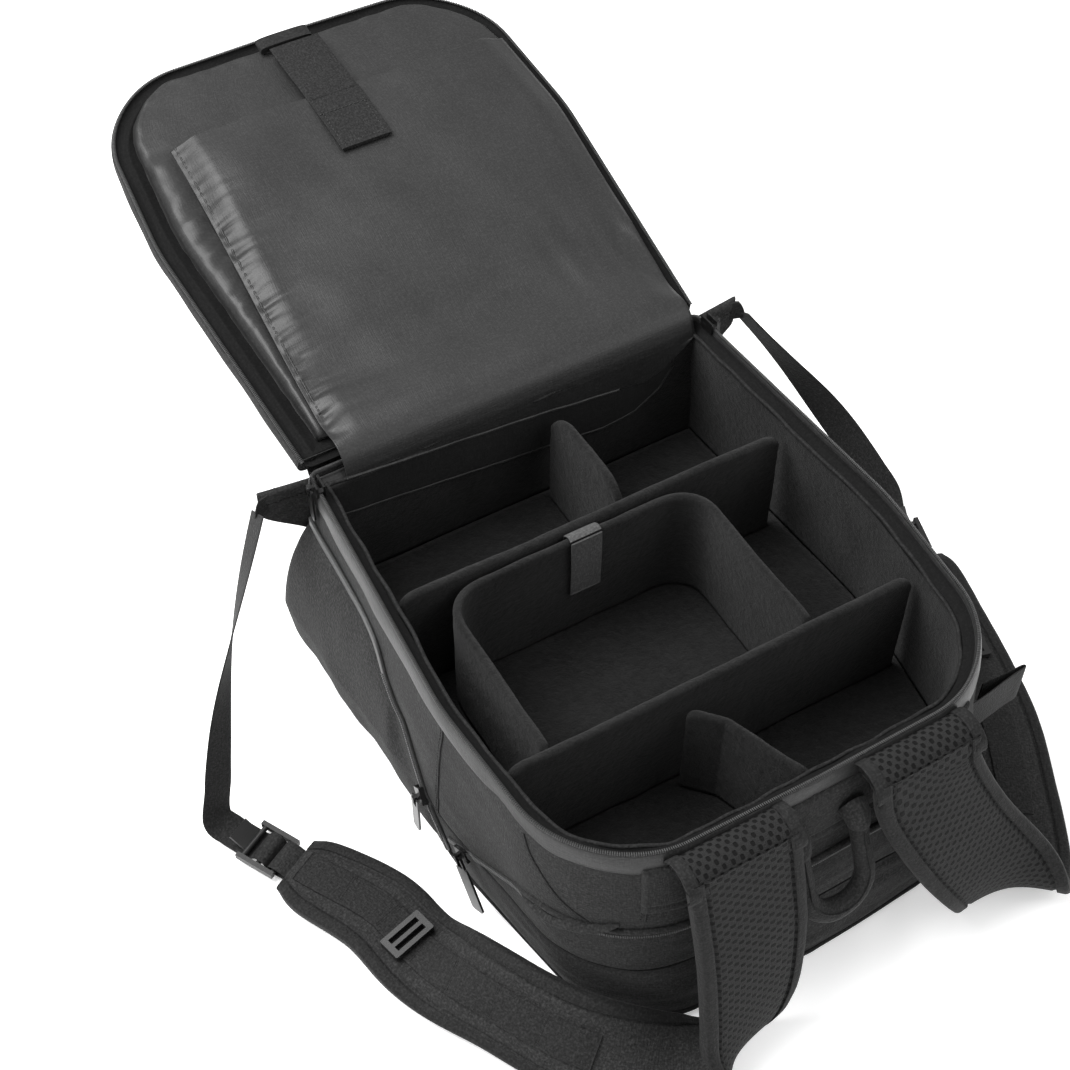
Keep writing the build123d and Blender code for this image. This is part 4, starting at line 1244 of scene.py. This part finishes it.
def rootRoll(side, flip, turned):
    # doubled mesh that carries each pad out from under the rim tape and turns down over its end, bound at both
    # edges
    profile = through([(-194, 177), (-196.5, 184), (-204, 188.3), (-213, 187.4), (-220.5, 183), (-223.8, 176),
                       (-222, 171.5),
                       (-217, 176), (-209, 179), (-200, 177), (-194, 177)], 61)[:-1]
    x = np.concatenate([[-111, -110.4, -109], np.linspace(-107, -33, 70), [-31, -29.6, -29]])
    snug = np.concatenate([[0.55, 0.8, 0.94], np.ones(70), [0.94, 0.8, 0.55]])[:, None, None]
    centre = np.array([-209.0, 181.5])
    rows = centre + (profile[None] - centre) * snug
    points = np.concatenate([np.broadcast_to(x[:, None, None], (76, 60, 1)), rows], -1)
    points[..., 2] += 0.35 * drift(points, 22, 125)
    root = grid("strap_root_mesh_" + side, points * flip, False, True, not turned, True)
    dress(root, "airMesh", "bag")
    for edge, label in ((-108.5, "out"), (-31.5, "in")):
        line = profile[2:38]
        line = np.stack([np.full(len(line), edge), line[:, 0], line[:, 1]], -1)
        away = unit(line - (edge, -208.0, 176.0))
        wide = np.broadcast_to((1.0, 0.0, 0.0), line.shape)
        strip(f"strap_root_binding_{side}_{label}", line + away * 0.5, wide, away, 4.4, 1.5, "bag", (), flip,
              not turned, cloth="binding")


yokePanel = {"half": 126, "proud": 3.9, "quilt": 0.9}


def yoke():
    # padded panel that carries the straps, standing off the end wall with rounded edges
    half = yokePanel["half"]
    x = np.linspace(-half, half, 150)
    z = np.concatenate([[131], np.linspace(132, 175, 40), [176.2]])
    middle = wallLookup(x)
    at = spread(x[:, None], 0, z[None])
    proud = yokePanel["proud"] + drift(at, 34, 130) * yokePanel["quilt"] - np.exp(-((z[None] - 139) / 1.4) ** 2)
    edge = np.minimum(half - np.abs(x[:, None]), np.minimum(z[None] - 131, 176.2 - z[None])) / 3.0
    proud = np.maximum(proud * np.sqrt(np.clip(1 - (1 - np.clip(edge, 0, 1)) ** 2, 0, 1)), 0.15)
    points, away = wallFrame(middle[:, None] + 0 * z[None], np.broadcast_to(z, (150, 42)))
    panel = grid("yoke_panel", points + away * proud[..., None], False, False)
    dress(panel, "shellFabric", "bag", ("strap_yoke",), wall=0.6)
    for rowZ, label in ((134.5, "low"), (141.5, "mid")):
        line, out = wallFrame(middle[4:-4], np.full(142, rowZ))
        stitches(f"yoke_stitches_{label}", line + out * yokePanel["proud"], out, "bag", 3.4, 2.2, 0.28)


def wallLookup(x):
    # outline fraction on the end wall for each x
    ring, _ = wallFrame(ringSteps[:-1], 150.0)
    on = ring[:, 1] < -150
    order = np.argsort(ring[on, 0])
    return np.interp(x, ring[on, 0][order], ringSteps[:-1][on][order])


wing = {"thick": 3.6, "wave": 1.2}


def wings():
    # sewn triangles at the hinge corners that hold the webbing: one padded piece of outer fabric with a stitched
    # line and a webbing tab
    for side, flip in (("left", np.ones(3)), ("right", mirror)):
        turned = side == "right"
        u = np.linspace(0, 1, 60)[:, None]
        v = np.linspace(0, 1, 60)[None]
        topLine = np.stack([np.interp(u, [0, 1], [-158, -203]), 176.5 + 6.5 * u], -1)
        low = np.stack([-158 - 15 * u - 30 * u * smoothstep(u, 0.1, 1), 111 + 5 * u + 44 * u ** 1.4], -1)
        xz = topLine * (1 - v[..., None]) + low * v[..., None]
        edge = np.minimum(np.minimum(v, 1 - v) * 60, (1 - u) * 42)
        thick = wing["thick"] * np.sqrt(np.clip(1 - (1 - np.clip(edge / 5, 0, 1)) ** 2, 0.003, 1))
        at = spread(xz[..., 0], 0, xz[..., 1])
        wave = drift(at, 26, 140) * wing["wave"] * smoothstep(edge, 0, 8)
        front = np.stack([xz[..., 0], 196.5 - thick + wave * 0.4, xz[..., 1]], -1)
        back = np.stack([xz[..., 0], 196.9 + thick * 0.4 + wave * 0.5, xz[..., 1]], -1)
        whole = np.concatenate([front, back[:, ::-1]], 1)
        piece = grid("wing_fabric_" + side, whole * flip, False, True, turned, True)
        dress(piece, "shellFabric", "bag", ("strap_wing_" + side,))
        line = np.stack([np.linspace(-164, -200, 40), np.full(40, 192.2), np.linspace(168, 172, 40)], -1)
        stitches("wing_stitches_" + side, line * flip, np.broadcast_to((0, -1, 0), line.shape), "bag", 3.2, 2.1,
                 0.3)
        patch = np.array([(-196, 194.4, 181), (-199, 193.5, 176), (-201, 192.6, 170), (-202, 192.4, 164)], float)
        line = through(patch, 30)
        way = heading(line)
        wide = np.broadcast_to((0.9, 0.3, 0.0), line.shape)
        out = unit(np.cross(wide, way)) * (flip if turned else -flip)
        tab = grid("wing_tab_" + side, bandPoints(line * flip, unit(wide * flip), out, 8.0, 2.0), False, True,
                   False, True)
        dress(tab, "webbing", "bag")


def sideLoop():
    # ribbed webbing loop on the end wall's right corner
    line = through([(141, -181.5, 131), (152, -180.5, 131), (166, -178.5, 131), (180, -176.5, 131),
                    (190, -175.6, 131),
                    (192.4, -174.6, 131), (190, -173.4, 131), (180, -173.2, 131), (166, -172.5, 131), (158, -172,
                            131)], 120)
    wide = np.broadcast_to((0.0, 0.0, 1.0), line.shape)
    strip("side_loop_webbing", line, wide, np.cross(wide, heading(line)), 18.5, 1.4, "bag", ("side_loop",))


handle = {"x": 0.5, "y": -214.0, "z": 146.0, "bend": 23.0, "leg": 36.0, "lean": 24.0, "thick": 6.6}


def grabHandle():
    # rolled carrying handle hanging in a U from the yoke; thickest at the bottom, flat where it is sewn in
    lean = math.radians(handle["lean"])
    turn = np.linspace(np.pi, 2 * np.pi, 60)
    bend = np.stack([handle["bend"] * np.cos(turn), handle["bend"] * np.sin(turn) - handle["leg"]], -1)
    left = np.stack([np.full(26, -handle["bend"]), np.linspace(4, -handle["leg"], 26, endpoint=False)], -1)
    right = left[::-1] * (-1, 1)
    flat = np.concatenate([left, bend, right])
    down = np.array([0, math.sin(lean), math.cos(lean)])
    line = np.stack([flat[:, 0] + handle["x"], 0 * flat[:, 0], 0 * flat[:, 0]], -1) + (0, handle["y"],
            handle["z"]) + flat[:, 1:] * down
    run = np.linspace(-1, 1, len(line))
    radius = handle["thick"] + 1.6 * np.cos(run * np.pi / 2) ** 2
    facing = np.array([0, -math.cos(lean), math.sin(lean)])
    points = tubePoints(line, radius, 28, facing, 0.82)
    points = points + unit(points - line[:, None]) * (0.35 * drift(points, 16, 150))[..., None]
    piece = grid("grab_handle_fabric", points, False, True, True, True)
    dress(piece, "webbing", "grab_handle", ("grab_handle",))
    seamLine = line + facing * (radius * 0.84)[:, None] + 0.2
    dress(tube("handle_seam", seamLine[4:-4], 0.8, 6), "binding", "grab_handle")
    for x in (-handle["bend"], handle["bend"]):
        root = through([(handle["x"] + x, -205.5, 152), (handle["x"] + x, -210, 151), (handle["x"] + x, -214, 147),
                        (handle["x"] + x, -215.5, 143)], 30)
        stub = grid(f"handle_root_{'left' if x < 0 else 'right'}", tubePoints(root, np.linspace(10.5, 7.4, 30), 24,
                (1, 0, 0), 1.0), False, True, True, True)
        dress(stub, "shellFabric", "bag")


def cadFinishes():
    # moulded and metal pieces keep their CAD shape and take a detailed finish
    for name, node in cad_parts.items():
        if node.hide_render:
            continue
        hard = any(word in name for word in ("lock", "sternum"))
        look = "moulded" if hard else "lacquer" if any(word in name for word in ("slider", "pull")) else "darkTape"
        if look == "darkTape":
            print("kept CAD fabric node:", name)
        node.data.materials.clear()
        node.data.materials.append(materials[look])


shoulderStraps()
yoke()
wings()
sideLoop()
grabHandle()
cadFinishes()
print("straps made")


view = {"place": (-0.4700, -0.6483, 1.1791), "yaw": -30.34, "height": 50.27, "roll": 0.28, "lens": 63.0}
studio = {"floor": 0.93, "sky": 0.68, "key": 88.0, "fill": 16.0, "glow": 0.34}


def aim(thing, place, target=(0, 0, 0.1)):
    # puts a lamp at a place, facing the target
    thing.location = place
    away = unit(np.subtract(place, target))
    thing.rotation_euler = (math.acos(away[2]), 0, math.atan2(away[0], -away[1]))


def stageScene():
    # camera, two area lamps, an even sky and a pale floor
    camera = bpy.data.objects.new("camera", bpy.data.cameras.new("camera"))
    camera.data.lens, camera.data.sensor_width = view["lens"], 36.0
    turns = ((view["yaw"], "Z"), (90 - view["height"], "X"), (view["roll"], "Z"))
    yaw, tilt, roll = (Matrix.Rotation(math.radians(angle), 4, axis) for angle, axis in turns)
    camera.matrix_world = Matrix.Translation(view["place"]) @ yaw @ tilt @ roll
    bpy.context.scene.collection.objects.link(camera)
    bpy.context.scene.camera = camera
    bpy.context.scene.view_settings.view_transform = "Standard"
    for name, place, size, power in (("key", (-0.9, 0.7, 1.9), 1.6, studio["key"]),
                                     ("fill", (1.3, -1.2, 1.5), 1.8, studio["fill"])):
        lamp = bpy.data.objects.new(name, bpy.data.lights.new(name, "AREA"))
        lamp.data.size, lamp.data.energy = size, power
        aim(lamp, place)
        bpy.context.scene.collection.objects.link(lamp)
    world = bpy.data.worlds.new("studio")
    world.use_nodes = True
    sky = world.node_tree.nodes["Background"].inputs
    sky["Color"].default_value, sky["Strength"].default_value = (1, 1, 1, 1), studio["sky"]
    bpy.context.scene.world = world
    mesh = bpy.data.meshes.new("floor")
    mesh.from_pydata([(-6, -6, 0), (6, -6, 0), (6, 6, 0), (-6, 6, 0)], [], [(0, 1, 2, 3)])
    floor = bpy.data.objects.new("floor", mesh)
    floor.data.materials.append(finish("paleFloor", lambda root: {
        "Base Color": root.noise(root.place("Object"), 3.0).tint(grey(studio["floor"]),
                grey(studio["floor"] + 0.03)),
        "Emission Color": (1, 1, 1, 1), "Emission Strength": studio["glow"], "Roughness": 0.9}))
    bpy.context.scene.collection.objects.link(floor)


stageScene()
print("stage made")
